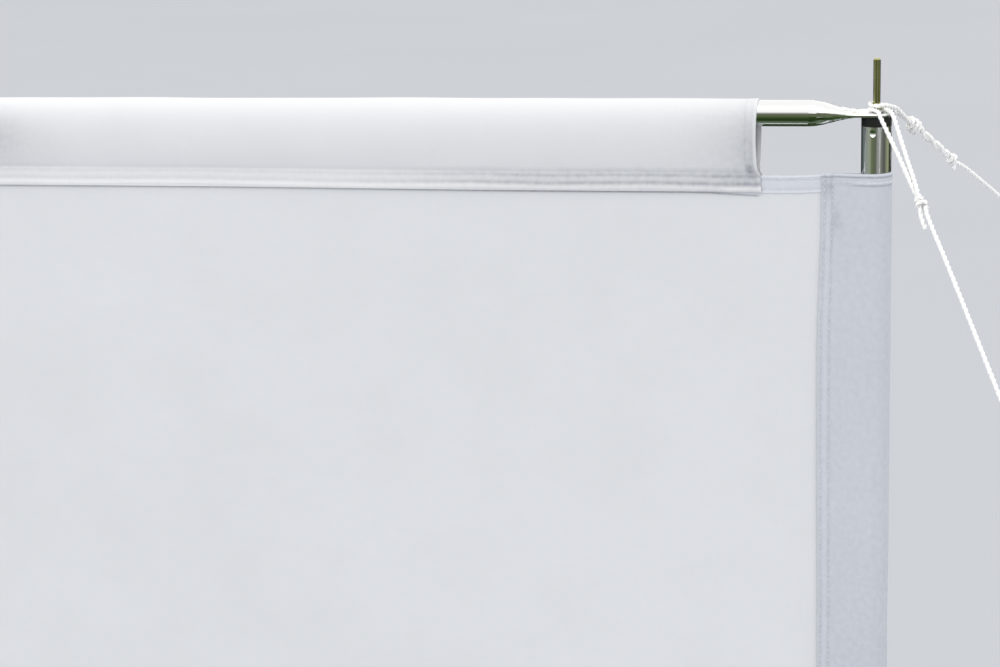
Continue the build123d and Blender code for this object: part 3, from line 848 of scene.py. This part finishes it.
class WINDBREAK_OT_pole_sleeves(bpy.types.Operator):
    """Make the cloth sleeves round the uprights, sewn to the panels with a double seam"""
    bl_idname = "windbreak.pole_sleeves"
    bl_label = "Pole sleeves"

    # Rows of stitches in from the lap's edge, and down from the top
    seam_rows = (0.0024, 0.0096)
    top_row = 0.0024
    hem_row = 0.0088

    def execute(self, context):
        size = context.scene.windbreak_sizes
        last = size.bay_count
        for number, middle in enumerate(stations(size)):
            stitches = []
            if number in (0, last):
                towards = -1 if number == 0 else 1
                pieces = [self.end_sleeve(size, number, middle, towards, stitches)]
            else:
                pieces = [self.middle_layer(size, number, middle, face, stitches) for face in (-1, 1)]
            sewn = stitch_piece(f"pole_sleeve_{number + 1}_stitches", stitches, number)
            for piece, flat in pieces:
                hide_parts(f"pole_sleeve_{number + 1}")
        return {"FINISHED"}

    def slant(self, drop):
        """Extra reach of the lap: the seam runs out a little below its top and back again."""
        return (-3.2 + 2.8 * step(drop, 0.09, 0.12) - 1.1 * step(drop, 0.30, 0.2)) * MM

    def relief(self, seed, tall):
        """How far the cloth stands out, at a drop from the top and a distance in from the lap's edge."""
        swell = Swell(seed, 0.15, 0.00030)
        flute = Swell(seed + 1, 0.05, 0.00014)
        inner = Puckers(seed + 2, tall, 0.012, 0.0125, 0.006, 0.0034, 0.00050)
        outer = Puckers(seed + 3, tall, 0.009, 0.0050, 0.004, 0.0028, 0.00032)
        top_ridges = ((0.00040, 0.0010, 0.0010), (-0.00040, self.top_row, 0.0008))
        hem_ridges = ((0.00036, self.hem_row - 0.0012, 0.0010), (-0.00036, self.hem_row + 0.0006, 0.0009))
        seam_ridges = [(-0.00024, row, 0.0011) for row in self.seam_rows]
        # Creases that lean across the top of the seam, as (place, height)
        creases = ((0.034, 0.0006), (0.041, -0.0005), (0.047, 0.0004))

        def out(drop, edge):
            high = swell(drop, edge) * step(edge, 0.012, 0.01) + flute(drop * 0.15, edge * 1.5)
            high += inner(drop, edge) + outer(drop, edge)
            clear = step(edge, 0.030, 0.016)
            high += 0.00030 * (1 - step(edge, 0.0115, 0.0030)) + ridges(edge, seam_ridges)
            high += (0.00015 + 0.00025 * clear) * (1 - step(drop, self.hem_row, 0.0016))
            high += ridges(drop, top_ridges) + clear * ridges(drop, hem_ridges)
            high += 0.00080 * bell(drop, 0.0030, 0.0022) * bell(edge, 0.0065, 0.0030)
            for place, tall_crease in creases:
                lean = drop - place + 1.4 * (edge - 0.014)
                high += tall_crease * bell(lean, 0.0, 0.0026) * bell(edge, 0.014, 0.005)
            return high
        return out

    def soil(self, drop, edge):
        """Painted shade over the cloth except on the fold ridges, which so read as lit; more along the rows
        of stitches and the hem's groove, and most at the top row, at the top of the seam and in the creases
        below it. The cloth is also a little darker from about 0.36 m down.
        """
        clear = step(edge, 0.030, 0.016)
        fold = bell(drop, 0.0006, 0.0014) + clear * bell(drop, self.hem_row - 0.0012, 0.0010)
        shade_amount = 0.28 * (1 - min(fold + 0.3 * bell(edge, 0.0062, 0.0018), 1.0))
        shade_amount += sum(0.13 * bell(edge, row, 0.0013) for row in self.seam_rows)
        shade_amount += (0.06 + 0.36 * clear) * bell(drop, self.hem_row + 0.0008, 0.0009)
        shade_amount += 0.66 * bell(drop, self.top_row, 0.0008) + 0.07 * step(drop, 0.36, 0.2)
        shade_amount += 0.30 * bell(drop, 0.012, 0.008) * bell(edge, 0.006, 0.005)
        shade_amount += 0.20 * bell(drop, 0.040, 0.010) * bell(edge, 0.014, 0.005)
        return min(shade_amount, 1.0)

    def top_sag(self, drop, ahead, behind):
        """Drop of the top edge: it sags towards the panel, and is cut lower behind the upright."""
        sag = 0.0019 * within((ahead + 0.0125) / 0.06, 0.0, 1.0) + 0.0034 * within(behind / 0.0125, 0.0, 1.0)
        return (sag - 0.0008) * max(1 - drop / 0.1, 0.0)

    def radius(self, size):
        """From the upright's axis to the middle of the cloth round it."""
        return size.upright_diameter / 2 + TUBE_GAP + size.cloth / 2

    def section(self, size):
        """The fold of the cloth round an upright, nearly taut."""
        return FoldedSection(self.radius(size), size.seam_reach, size.seam_lap, size.lap_side, 0.06)

    def spot(self, size, section, around, drop, out, back):
        """How far a point reaches ahead and aside, and its height.

        Back is the sign of the side that faces backwards.
        """
        (ahead, side), (ahead_out, side_out) = section.at(around)
        share = max((ahead - 0.020) / (size.seam_reach - 0.020), 0.0)
        reach = ahead + ahead_out * out + self.slant(drop) * share
        return reach, side + side_out * out, size.panel_top - drop - self.top_sag(drop, ahead, side * back)

    def end_sleeve(self, size, number, middle, towards, stitches):
        section = self.section(size)
        relief = self.relief(100 + 10 * number, size.panel_top - size.pole_sleeve_foot)

        def place(drop, around):
            edge = min(around, section.length - around)
            out = relief(drop, edge)
            if edge > 0.038:
                out = max(out, -0.00025)
            reach, aside, level = self.spot(size, section, around, drop, out, -1)
            return Vector((middle + towards * reach, -aside, level))

        name = f"pole_sleeve_{number + 1}_cloth"
        return self.build(size, name, place, section.length, ease(number), stitches)

    def middle_layer(self, size, number, middle, face, stitches):
        section = self.section(size)
        half = section.length / 2 - self.radius(size) * math.pi / 2
        relief = self.relief(100 + 10 * number + face, size.panel_top - size.pole_sleeve_foot)

        def place(drop, around):
            edge = min(around, 2 * half - around)
            left = -1 if around < half else 1
            reach, aside, level = self.spot(size, section, edge, drop, relief(drop, edge), face)
            return Vector((middle + left * reach, face * aside, level))

        name = f"pole_sleeve_{number + 1}_{'front' if face < 0 else 'back'}_cloth"
        return self.build(size, name, place, 2 * half, ease(number), stitches)

    def build(self, size, name, place, around_all, pace, stitches):
        """Shell and stitches of one sleeve, or of one layer of a middle sleeve."""
        tall = size.panel_top - size.pole_sleeve_foot
        drops = spaced(0.0, tall, 0.0058 * pace, 0.0009 * pace, 0.012)
        arounds = spaced(0.0, around_all, 0.0040 * pace, 0.0010 * pace, 0.0135)
        rows = [[place(drop, around) for around in arounds] for drop in drops]
        shade_amount = [[self.soil(drop, min(around, around_all - around)) for around in arounds]
                 for drop in drops]
        piece = cloth_shell(name, rows, size.cloth, cloth_material("border"), shade_amount)

        def surface(drop, around):
            point = place(drop, around)
            one = place(min(drop + NEARBY, tall), around) - place(max(drop - NEARBY, 0.0), around)
            two = place(drop, min(around + NEARBY, around_all)) - place(drop, max(around - NEARBY, 0.0))
            normal = one.cross(two).normalized()
            if normal.y * point.y < 0:
                normal = -normal
            return point, normal

        lift = size.cloth / 2
        for edge in self.seam_rows:
            for around in (edge, around_all - edge):
                stitch_row(stitches, lambda drop: surface(drop, around), (0.002, tall - 0.004), size, lift)
        low_edge = self.hem_row - 0.0016
        stitch_row(stitches, lambda around: surface(low_edge, around), (0.004, around_all - 0.004),
                   size, lift)
        return piece, (around_all, tall)


class WINDBREAK_OT_guy_ropes(bpy.types.Operator):
    """Make the laid guy ropes with their loops, knots and tails"""
    bl_idname = "windbreak.guy_ropes"
    bl_label = "Guy ropes"

    def execute(self, context):
        size = context.scene.windbreak_sizes
        tint = context.scene.windbreak_colours
        rope = new_material("laid polypropylene rope", laid_polypropylene, tint.rope, 0.0005)
        last = size.bay_count
        for number, middle in enumerate(stations(size)):
            if 0 < number < last:
                guys = {"front": FRONT_MIDDLE_GUY, "back": BACK_MIDDLE_GUY}
                tabs = 2
            else:
                guys = {"front": FRONT_END_GUY, "back": BACK_END_GUY}
                tabs = 1
            base = size.rail_height - size.tab_thickness / 2 + tabs * size.tab_thickness
            base += size.rope_diameter / 2 + ROPE_GAP
            rise = 0.0
            for side, (azimuth, slope, knots) in guys.items():
                if number == last:
                    azimuth = 180 - azimuth
                self.guy(size, number, side, middle, base, rise, azimuth, slope, knots, rope)
                rise += size.rope_diameter + ROPE_GAP
        return {"FINISHED"}

    def guy(self, size, number, side, middle, base, rise, azimuth, slope, knots, material):
        radius = size.rope_diameter / 2
        turned = math.radians(azimuth)
        drop = math.radians(slope)
        across = size.tab_width / 2 / max(abs(math.sin(turned)), 0.01)
        along = size.tab_reach / max(abs(math.cos(turned)), 0.01)
        out = min(across, along) + radius * math.tan(drop / 2) + 0.001
        run = (base + rise - size.peg_rise) / math.sin(drop)
        foot = run + out
        loop = size.spike_diameter / 2 + radius + ROPE_GAP
        peg_loop = size.peg_diameter / 2 + radius + ROPE_GAP
        first = knots[0] * MM
        last = knots[-1] * MM
        one_knot = len(knots) == 1
        # A single knot's strands are pulled a little aside
        lean = -0.0023 if one_knot else 0.0

        def on_slope(distance, aside, lift=0.0):
            """Point beside the sloping line: distance from the spike, aside and lift in metres."""
            down = distance - out
            lift -= 0.82 * rise * within(1 - (distance - last - 0.003) / 0.014, 0.0, 1.0)
            pulled = min((distance - 0.006) / 0.014, 1 - (distance - last) / 0.035)
            aside += lean * within(pulled, 0.0, 1.0)
            return Vector((out + down * math.cos(drop) + lift * math.sin(drop), aside,
                           base + rise - down * math.sin(drop) + lift * math.cos(drop)))

        def spots(start, *steps):
            """Points beside the sloping line, each as (further on, aside, lift) from a start."""
            return [on_slope(start + further, aside, lift) for further, aside, lift in steps]

        dice = random.Random(300 + 10 * number + len(side))
        pair = []
        back_pair = []
        if one_knot:
            tail = spots(last, (0.021, -0.0028, -0.0052), (0.0126, -0.0030, -0.0042),
                         (0.0065, -0.0026, -0.0026))
            spread = ((out + 0.004, 0.0060, 0), (first * 0.32, 0.0052, 0), (first * 0.46, 0.0041, 0),
                      (first * 0.60, 0.0031, 0), (first * 0.70, 0.0024, 10), (first * 0.79, 0.0019, 35),
                      (first * 0.88, 0.0019, 80), (first - 0.006, 0.0017, 110))
            knot_one = self.wraps(on_slope, first, 0.0085, 0.0034, 2.1, 0.6)
        else:
            tail = spots(last, (0.0066, -0.0012, -0.0074), (0.0048, -0.0013, -0.0050),
                         (0.0032, -0.0010, -0.0028))
            spread = ((out + 0.004, 0.0040, 0), (first * 0.62, 0.0029, 5), (first - 0.009, 0.0021, 20))
            knot_one = self.wraps(on_slope, first, 0.0150, 0.0046, 3.2, 0.6)
            twist = 2 * math.pi / 0.032
            steps = 12
            for k in range(steps + 1):
                distance = last - 0.008 - (last - first - 0.020) * k / steps
                angle = twist * distance
                aside, lift = 0.0022 * math.cos(angle), 0.0022 * math.sin(angle)
                pair.append(on_slope(distance, aside, lift))
                back_pair.insert(0, on_slope(distance, -aside, -lift))
            pair += spots(first, (0.005, -0.0016, 0.0016), (-0.005, -0.0026, -0.0010))
            back_pair += self.wraps(on_slope, last, 0.0070, 0.0034, 1.6, 2.2)
        into = spots(last, (0.002, -0.0012, -0.0008), (-0.004, -0.0006, -0.0004))
        down_strand = []
        up_strand = []
        for distance, half, turn in spread:
            aside, lift = half * math.cos(math.radians(turn)), half * math.sin(math.radians(turn))
            down_strand.append(on_slope(distance, aside, lift))
            up_strand.insert(0, on_slope(distance, -aside, -lift))
        open_side = (out - 0.006) / loop
        ring = [(open_side, -1.0), (0.5, -1.02), (-0.45, -1.0), (-1.0, -0.55), (-1.06, 0.05), (-1.0, 0.6),
                (-0.45, 1.0), (0.5, 1.02), (open_side, 1.0)]
        around = []
        for x, y in ring:
            front = -(x * math.sin(turned) + y * math.cos(turned))
            dip = 0.0012 * within(front, 0.0, 1.0) if rise else 0.0
            level = base + rise * (0.3 if x > 1.0 else 1.0) - dip
            around.append(Vector((x * loop, y * loop, level)))
        line = tail + into + pair + up_strand + around + down_strand + knot_one + back_pair
        bend = peg_loop * 0.55
        end_side = peg_loop * (foot - size.slider_from_peg - last) / (foot - last) - size.slider_pitch
        end_at = foot - size.slider_from_peg - 0.0055
        back = foot - end_at
        line += spots(last, (0.012, 0.0003, 0.0), (0.06, 0.0002, 0.0), (0.2, peg_loop * 0.13, 0.0))
        line += [on_slope(last + (foot - last) * share, peg_loop * share) for share in (0.4, 0.7, 0.9)]
        line += spots(foot, (-0.012, peg_loop, 0.0), (bend, peg_loop, 0.0), (peg_loop, bend, 0.0),
                      (peg_loop, -bend, 0.0), (bend, -peg_loop, 0.0), (-0.012, -peg_loop - 0.0006, 0.0))
        line += [on_slope(foot - back * share, -peg_loop + (end_side + peg_loop) * share)
                 for share in (0.3, 0.6, 0.9)]
        line += spots(end_at, (0.006, end_side, 0.0))
        line += self.wraps(on_slope, end_at, 0.0035, 0.0030, 1.5, dice.uniform(0, 3), end_side)
        line += spots(end_at, (-0.005, end_side + 0.001, 0.0), (-0.012, end_side + 0.002, 0.001))
        frame_turn = Matrix.Rotation(turned, 4, "Z")
        offset = Vector((middle, 0, 0))
        world = [frame_turn @ point + offset for point in line]
        name = f"guy_rope_{number + 1}_{side}"
        sides, pace = (15, 0.0015) if number == 0 else (9, 0.0028)
        piece = laid_rope(f"{name}_laid", world, size.rope_diameter, size.rope_lay, sides, pace, material)
        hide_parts(name)

    def wraps(self, on_slope, middle, long, wide, turns, start, aside=0.0):
        """Points of the rope's turns round itself in a knot, fuller in the middle."""
        points = []
        count = int(turns * 9)
        for k in range(count + 1):
            share = k / count
            angle = start + turns * 2 * math.pi * share
            swell = 0.85 + 0.3 * math.sin(math.pi * share)
            lean = 0.0012 * math.cos(angle)
            out = wide * swell
            points.append(on_slope(middle + long * (share - 0.5) + lean, aside + out * math.cos(angle),
                                   out * math.sin(angle)))
        return points


def even_line(points, pace):
    """Evenly spaced points of a smooth NURBS line that follows the given points."""
    curve = bpy.data.curves.new("rope line", "CURVE")
    curve.dimensions = "3D"
    spline = curve.splines.new("NURBS")
    spline.points.add(len(points) - 1)
    for place, point in zip(spline.points, points):
        place.co = (point.x, point.y, point.z, 1.0)
    spline.order_u = 3
    spline.use_endpoint_u = True
    spline.resolution_u = 10
    carrier = bpy.data.objects.new("rope line", curve)
    mesh = bpy.data.meshes.new_from_object(carrier)
    dense = [vertex.co.copy() for vertex in mesh.vertices]
    bpy.data.meshes.remove(mesh)
    bpy.data.objects.remove(carrier)
    bpy.data.curves.remove(curve)
    line = [dense[0]]
    left = pace
    for first, second in zip(dense, dense[1:]):
        run = (second - first).length
        done = 0.0
        while run - done >= left:
            done += left
            line.append(first.lerp(second, done / run))
            left = pace
        left -= run - done
    return line


def laid_rope(name, points, diameter, lay, sides, pace, material):
    """Three-strand rope along a line: a lobed section that turns once in each lay."""
    line = even_line(points, pace)
    count = len(line)
    lobes = []
    for k in range(sides):
        off_crest = 2 * math.pi / 3 * ((k * 3 / sides + 0.5) % 1.0 - 0.5)
        strand = 0.536 * math.cos(off_crest) + math.sqrt(max(0.2153 - 0.2873 * math.sin(off_crest) ** 2, 0.0))
        lobes.append(max(strand, 0.58))
    normal = None
    verts = []
    uvs = []
    for i, point in enumerate(line):
        ahead = (line[min(i + 1, count - 1)] - line[max(i - 1, 0)]).normalized()
        if normal is None:
            normal = ahead.orthogonal().normalized()
        normal = (normal - ahead * normal.dot(ahead)).normalized()
        side = ahead.cross(normal)
        turn = 2 * math.pi * i * pace / lay
        for k in range(sides):
            angle = turn + 2 * math.pi * k / sides
            reach = lobes[k] * diameter / 2
            verts.append(point + normal * (reach * math.cos(angle)) + side * (reach * math.sin(angle)))
            uvs.append((i * pace, k * math.pi * diameter / sides))
    faces = []
    for i in range(count - 1):
        for k in range(sides):
            a = i * sides + k
            b = i * sides + (k + 1) % sides
            faces.append((a, b, b + sides, a + sides))
    for end in (0, count - 1):
        verts.append(line[end])
        uvs.append((end * pace, 0.0))
        for k in range(sides):
            a = end * sides + k
            b = end * sides + (k + 1) % sides
            faces.append((a, len(verts) - 1, b) if end == 0 else (a, b, len(verts) - 1))
    return add_piece(name, verts, faces, material, uvs, sharp=75.0)


class WINDBREAK_OT_hem_tabs(bpy.types.Operator):
    """Make the webbing tabs along the bottom hem"""
    bl_idname = "windbreak.hem_tabs"
    bl_label = "Hem tabs"

    half_wide = 12.5 * MM
    strap = 1.5 * MM
    # Y of the strap on the hem, radius of its bend forwards, and the hole that the eyelet fills
    face = -2.05 * MM
    bend = 5 * MM
    hole_radius = 0.0052
    hole_y = -1.3 * MM - 58 * MM + 14 * MM
    # Corners of the sewn box and its cross, as (aside, drop)
    corners = ((-0.0095, 0.003), (0.0095, 0.003), (0.0095, 0.022), (-0.0095, 0.022), (-0.0095, 0.003),
               (0.0095, 0.022), (0.0095, 0.003), (-0.0095, 0.022))

    def execute(self, context):
        size = context.scene.windbreak_sizes
        tint = context.scene.windbreak_colours
        webbing = new_material("polyester webbing", woven_webbing, tint.webbing, 0.0016)
        low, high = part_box("hem_tabs")
        number = 0
        for bay in range(size.bay_count):
            for place in (0.25, 0.75):
                number += 1
                self.tab(size, number, -size.bay_width * (bay + place), high[2], low[1], webbing)
        return {"FINISHED"}

    def tab(self, size, number, middle, top, front, webbing):
        half_wide = self.half_wide
        strap = self.strap
        face = self.face
        bend = self.bend
        level = strap / 2 + 0.3 * MM
        path = [Vector((0, face, top)), Vector((0, face, top - 0.010)),
                Vector((0, face, level + bend + 0.004))]
        for k in range(9):
            angle = math.pi / 2 * k / 8
            path.append(Vector((0, face - bend + bend * math.cos(angle),
                                level + bend - bend * math.sin(angle))))
        for k in range(1, 15):
            path.append(Vector((0, face - bend - k / 14 * (face - bend - front), level)))
        rows = []
        for point in path:
            rows.append([Vector((middle + half_wide * share, point.y, point.z))
                         for share in (-1, -0.96, -0.75, -0.5, -0.25, 0, 0.25, 0.5, 0.75, 0.96, 1)])
        piece = cloth_shell(f"hem_tab_{number}_strap", rows, strap, webbing)
        ring = 24
        points, faces = tube(self.hole_radius, ring, (-0.004, 0.006), middle, self.hole_y)
        faces += [tuple(range(ring - 1, -1, -1)), tuple(range(ring, 2 * ring))]
        hole = bpy.data.meshes.new("eyelet hole")
        hole.from_pydata(points, [], faces)
        cutter = add_object("eyelet hole", hole)
        cut = piece.modifiers.new("eyelet", "BOOLEAN")
        cut.object = cutter
        cut.solver = "EXACT"
        context = bpy.context
        context.view_layer.update()
        done = bpy.data.meshes.new_from_object(piece.evaluated_get(context.evaluated_depsgraph_get()))
        piece.modifiers.clear()
        piece.data = done
        bpy.data.objects.remove(cutter)
        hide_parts("hem_tabs")
        stitches = []
        for (x0, d0), (x1, d1) in zip(self.corners, self.corners[1:]):
            run = math.dist((x0, d0), (x1, d1))

            def along(distance):
                share = distance / run
                return (Vector((middle + x0 + (x1 - x0) * share, face, top - d0 - (d1 - d0) * share)),
                        Vector((0, -1, 0)))

            stitch_row(stitches, along, (0.0, run), size, strap / 2)
        sewn = stitch_piece(f"hem_tab_{number}_stitches", stitches)
        length_flat = sum((b - a).length for a, b in zip(path, path[1:]))


def dress(material, *names):
    """Give CAD nodes a material."""
    for name in names:
        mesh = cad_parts[name].data
        mesh.materials.clear()
        mesh.materials.append(material)


def numbered(stem, count):
    """Names of a row of like nodes."""
    return [f"{stem}_{number}" for number in range(1, count + 1)]


class WINDBREAK_OT_metalwork(bpy.types.Operator):
    """Finish the steel uprights, rails, spikes, pegs and the eyelets"""
    bl_idname = "windbreak.metalwork"
    bl_label = "Metalwork"

    def execute(self, context):
        size = context.scene.windbreak_sizes
        tint = context.scene.windbreak_colours
        bays = size.bay_count
        upright = new_material("chromed steel tube, upright", polished_tube, tint.steel, "Z")
        rail = new_material("chromed steel tube, rail", polished_tube, tint.steel, "X")
        spike = new_material("yellow-passivated zinc plate", worn_metal, tint.spike, 0.012, 0.10, 0.18)
        peg = new_material("galvanised steel", worn_metal, tint.peg, 0.006, 0.35, 0.55)
        brass = new_material("rolled brass", worn_metal, tint.brass, 0.005, 0.2, 0.35)
        dress(upright, *numbered("upright", bays + 1))
        dress(rail, *numbered("top_rail", bays))
        dress(spike, *numbered("top_spike", bays + 1))
        dress(peg, "guy_pegs", "hem_pegs")
        dress(brass, "hem_eyelets")
        return {"FINISHED"}


class WINDBREAK_OT_plastics(bpy.types.Operator):
    """Finish the plugs, feet and sliders"""
    bl_idname = "windbreak.plastics"
    bl_label = "Plastic parts"

    def execute(self, context):
        size = context.scene.windbreak_sizes
        tint = context.scene.windbreak_colours
        ends = size.bay_count + 1
        black = new_material("black moulded polyethylene", moulded_plastic, tint.plastic, 0.42)
        white = new_material("white moulded nylon", moulded_plastic, tint.slider, 0.45)
        dress(black, *numbered("top_plug", ends), *numbered("foot", ends))
        dress(white, "guy_sliders")
        return {"FINISHED"}


# Painted reflections in the chrome: colours of the card under the set from back to front, and round the other
# card, as (place, sRGB hex)
GROUND = ((0.02, "#333f29"), (0.09, "#323e28"), (0.113, "#414f3b"), (0.147, "#5f6f59"), (0.18, "#36472e"),
          (0.22, "#222f19"), (0.27, "#28391b"), (0.33, "#374826"), (0.42, "#465534"), (0.59, "#535f44"),
          (0.9, "#5f6a50"))
ROUND = ((0.0, "#777f7c"), (0.021, "#7e8782"), (0.075, "#8d9387"), (0.124, "#888f79"), (0.155, "#656d55"),
         (0.212, "#5a614b"), (0.258, "#606359"), (0.280, "#8f9090"), (0.320, "#92938e"), (0.350, "#82857c"),
         (0.387, "#626560"), (0.445, "#505350"), (0.470, "#7a7f68"), (0.500, "#81866e"), (0.530, "#91977a"),
         (0.550, "#868c6c"), (0.570, "#343830"), (0.800, "#333630"), (0.870, "#3a4040"), (0.920, "#4c5453"),
         (0.955, "#6d7675"))


def ramp(stripes):
    """The stops of a colour ramp from sRGB hex values."""
    return [(place, tone(linear(code), 1.0)) for place, code in stripes]


def studio_floor(tree, value):
    """Pale studio floor: nearly even, and it lights the set as if it were lighter than it looks."""
    place = add_node(tree, "TexCoord")
    cloud = add_node(tree, "TexNoise", {"Vector": (place, "Object"), "Scale": 0.6, "Detail": 3.0})
    shade = add_node(tree, "ValToRGB", {"Fac": (cloud, 0)},
                     stops=((0.0, tone(value, 0.98)), (1.0, tone(value, 1.02))))
    path = add_node(tree, "LightPath")
    paint = add_node(tree, "Mix", {0: (path, "Is Camera Ray"), 6: tone(value, 1.16), 7: (shade, 0)},
                     data_type="RGBA")
    return add_node(tree, "BsdfPrincipled", {"Base Color": (paint, 2), "Roughness": 0.9,
                                             "Specular IOR Level": 0.1})


def painted_ground_reflection(tree, strength):
    """Painted reflection of the ground in the chrome: the card under the set glows in bands of green that run
    across it, from back to front.
    """
    place = add_node(tree, "TexCoord")
    axes = add_node(tree, "SeparateXYZ", {0: (place, "Object")})
    front = add_node(tree, "MapRange", {"Value": (axes, 1), "From Min": 1.0, "From Max": -8.0})
    shade = add_node(tree, "ValToRGB", {"Fac": (front, 0)}, stops=ramp(GROUND))
    return add_node(tree, "Emission", {"Color": (shade, 0), "Strength": strength})


def painted_surround_reflection(tree, strength):
    """Painted reflection of the surroundings in the chrome: the card round the set glows in upright stripes
    that fade to white above, sooner towards the back.
    """
    place = add_node(tree, "TexCoord")
    round_set = add_node(tree, "TexGradient", {0: (place, "Object")}, gradient_type="RADIAL")
    shade = add_node(tree, "ValToRGB", {"Fac": (round_set, 1)}, stops=ramp(ROUND))
    axes = add_node(tree, "SeparateXYZ", {0: (place, "Object")})
    behind = add_node(tree, "Math", {0: (axes, 1), 1: 0.0}, operation="MAXIMUM")
    faster = add_node(tree, "Math", {0: (behind, 0), 1: 0.18, 2: 1.0}, operation="MULTIPLY_ADD")
    above = add_node(tree, "Math", {0: (axes, 2), 1: 0.95}, operation="SUBTRACT")
    height = add_node(tree, "Math", {0: (above, 0), 1: (faster, 0)}, operation="MULTIPLY")
    rise = add_node(tree, "MapRange", {"Value": (height, 0), "From Min": 0.0, "From Max": 3.4},
                    interpolation_type="SMOOTHSTEP")
    fade = add_node(tree, "Mix", {0: (rise, 0), 6: (shade, 0), 7: tone(linear("#fdfdfc"), 1.0)},
                    data_type="RGBA")
    return add_node(tree, "Emission", {"Color": (fade, 2), "Strength": strength})


class WINDBREAK_OT_stage(bpy.types.Operator):
    """Set the floor, the soft light, the reflection cards and the camera"""
    bl_idname = "windbreak.stage"
    bl_label = "Stage"

    def execute(self, context):
        floor = new_material("pale studio floor", studio_floor, context.scene.windbreak_colours.floor)
        self.plane("studio_floor", 60.0, 0.0, floor)
        self.light(context)
        self.cards()
        self.camera(context)
        context.scene.view_settings.view_transform = "Standard"
        return {"FINISHED"}

    def plane(self, name, far, level, material):
        """A level square, out to a distance each way."""
        corners = [(-far, -far, level), (far, -far, level), (far, far, level), (-far, far, level)]
        return self.staged(name, corners, [(0, 1, 2, 3)], material)

    def staged(self, name, points, faces, material):
        """A mesh that belongs to the studio and not to the windbreak."""
        mesh = bpy.data.meshes.new(name)
        mesh.from_pydata(points, [], faces)
        mesh.materials.append(material)
        card = add_object(name, mesh)
        return card

    def light(self, context):
        world = bpy.data.worlds.new("soft studio")
        context.scene.world = world
        world.use_nodes = True
        tree = world.node_tree
        tree.nodes.clear()
        glow = add_node(tree, "Background", {"Color": (1.0, 0.995, 0.985, 1.0), "Strength": 1.2})
        seen = add_node(tree, "Background", {"Color": tone(linear("#cbd0d9"), 1.0), "Strength": 1.0})
        path = add_node(tree, "LightPath")
        mix = add_node(tree, "MixShader", {0: (path, "Is Camera Ray"), 1: (glow, 0), 2: (seen, 0)})
        add_node(tree, "OutputWorld", {"Surface": (mix, 0)})
        lamp = bpy.data.lights.new("overhead soft box", "SUN")
        lamp.energy = 0.5
        lamp.angle = math.radians(40)
        lamp.color = (1.0, 0.99, 0.97)
        carrier = add_object("overhead soft box", lamp)
        carrier.rotation_euler = (math.radians(40), 0, math.radians(-30))

    def cards(self):
        """Glowing cards round the set that only glossy rays see: they paint reflections into the polished
        metal.
        """
        level = 0.02
        reach = 7.0
        tall = 4.6
        bright = 1.26
        below = new_material("card under the set", painted_ground_reflection, bright)
        about = new_material("card round the set", painted_surround_reflection, bright)
        under = self.plane("ground_card", 40.0, level, below)
        ring = self.staged("ring_card", *tube(reach, 72, (level, tall)), about)
        for card in (under, ring):
            for kind in ("camera", "diffuse", "transmission", "volume_scatter", "shadow"):
                setattr(card, f"visible_{kind}", False)

    def camera(self, context):
        camera = bpy.data.cameras.new("camera")
        camera.sensor_width = 36.0
        camera.lens = 93.6
        camera.clip_end = 200.0
        carrier = add_object("camera", camera)
        yaw, pitch, roll = (math.radians(angle) for angle in (10.201, 12.903, 1.298))
        level = Vector((-math.sin(yaw), math.cos(yaw), 0))
        forward = level * math.cos(pitch) - Vector((0, 0, math.sin(pitch)))
        right = Vector((math.cos(yaw), math.sin(yaw), 0))
        down = forward.cross(right)
        across = right * math.cos(roll) + down * math.sin(roll)
        below = down * math.cos(roll) - right * math.sin(roll)
        turned = Matrix((across, -below, -forward)).transposed().to_4x4()
        stands_at = Vector((0.0674, -2.1515, 1.6988))
        carrier.matrix_world = Matrix.Translation(stands_at) @ turned
        context.scene.camera = carrier


class WINDBREAK_PT_panel(bpy.types.Panel):
    """Lists the sizes, colours and steps of the windbreak"""
    bl_idname = "WINDBREAK_PT_panel"
    bl_label = "Beach windbreak"
    bl_space_type = "VIEW_3D"
    bl_region_type = "UI"
    bl_category = "Windbreak"

    def draw(self, context):
        layout = self.layout
        for kind in OPERATORS:
            layout.operator(kind.bl_idname)
        for group in (context.scene.windbreak_sizes, context.scene.windbreak_colours):
            column = layout.column()
            for name in group.__annotations__:
                column.prop(group, name)


OPERATORS = (
    WINDBREAK_OT_panels,
    WINDBREAK_OT_rail_sleeves,
    WINDBREAK_OT_pole_sleeves,
    WINDBREAK_OT_guy_ropes,
    WINDBREAK_OT_hem_tabs,
    WINDBREAK_OT_metalwork,
    WINDBREAK_OT_plastics,
    WINDBREAK_OT_stage,
)
CLASSES = (WindbreakSizes, WindbreakColours, *OPERATORS, WINDBREAK_PT_panel)


def register():
    for kind in CLASSES:
        bpy.utils.register_class(kind)
    bpy.types.Scene.windbreak_sizes = PointerProperty(type=WindbreakSizes)
    bpy.types.Scene.windbreak_colours = PointerProperty(type=WindbreakColours)


def unregister():
    del bpy.types.Scene.windbreak_sizes
    del bpy.types.Scene.windbreak_colours
    for kind in reversed(CLASSES):
        bpy.utils.unregister_class(kind)


def main():
    """Make every piece and the stage."""
    register()
    for kind in OPERATORS:
        group, name = kind.bl_idname.split(".")
        getattr(getattr(bpy.ops, group), name)()


if __name__ == "__main__":
    main()
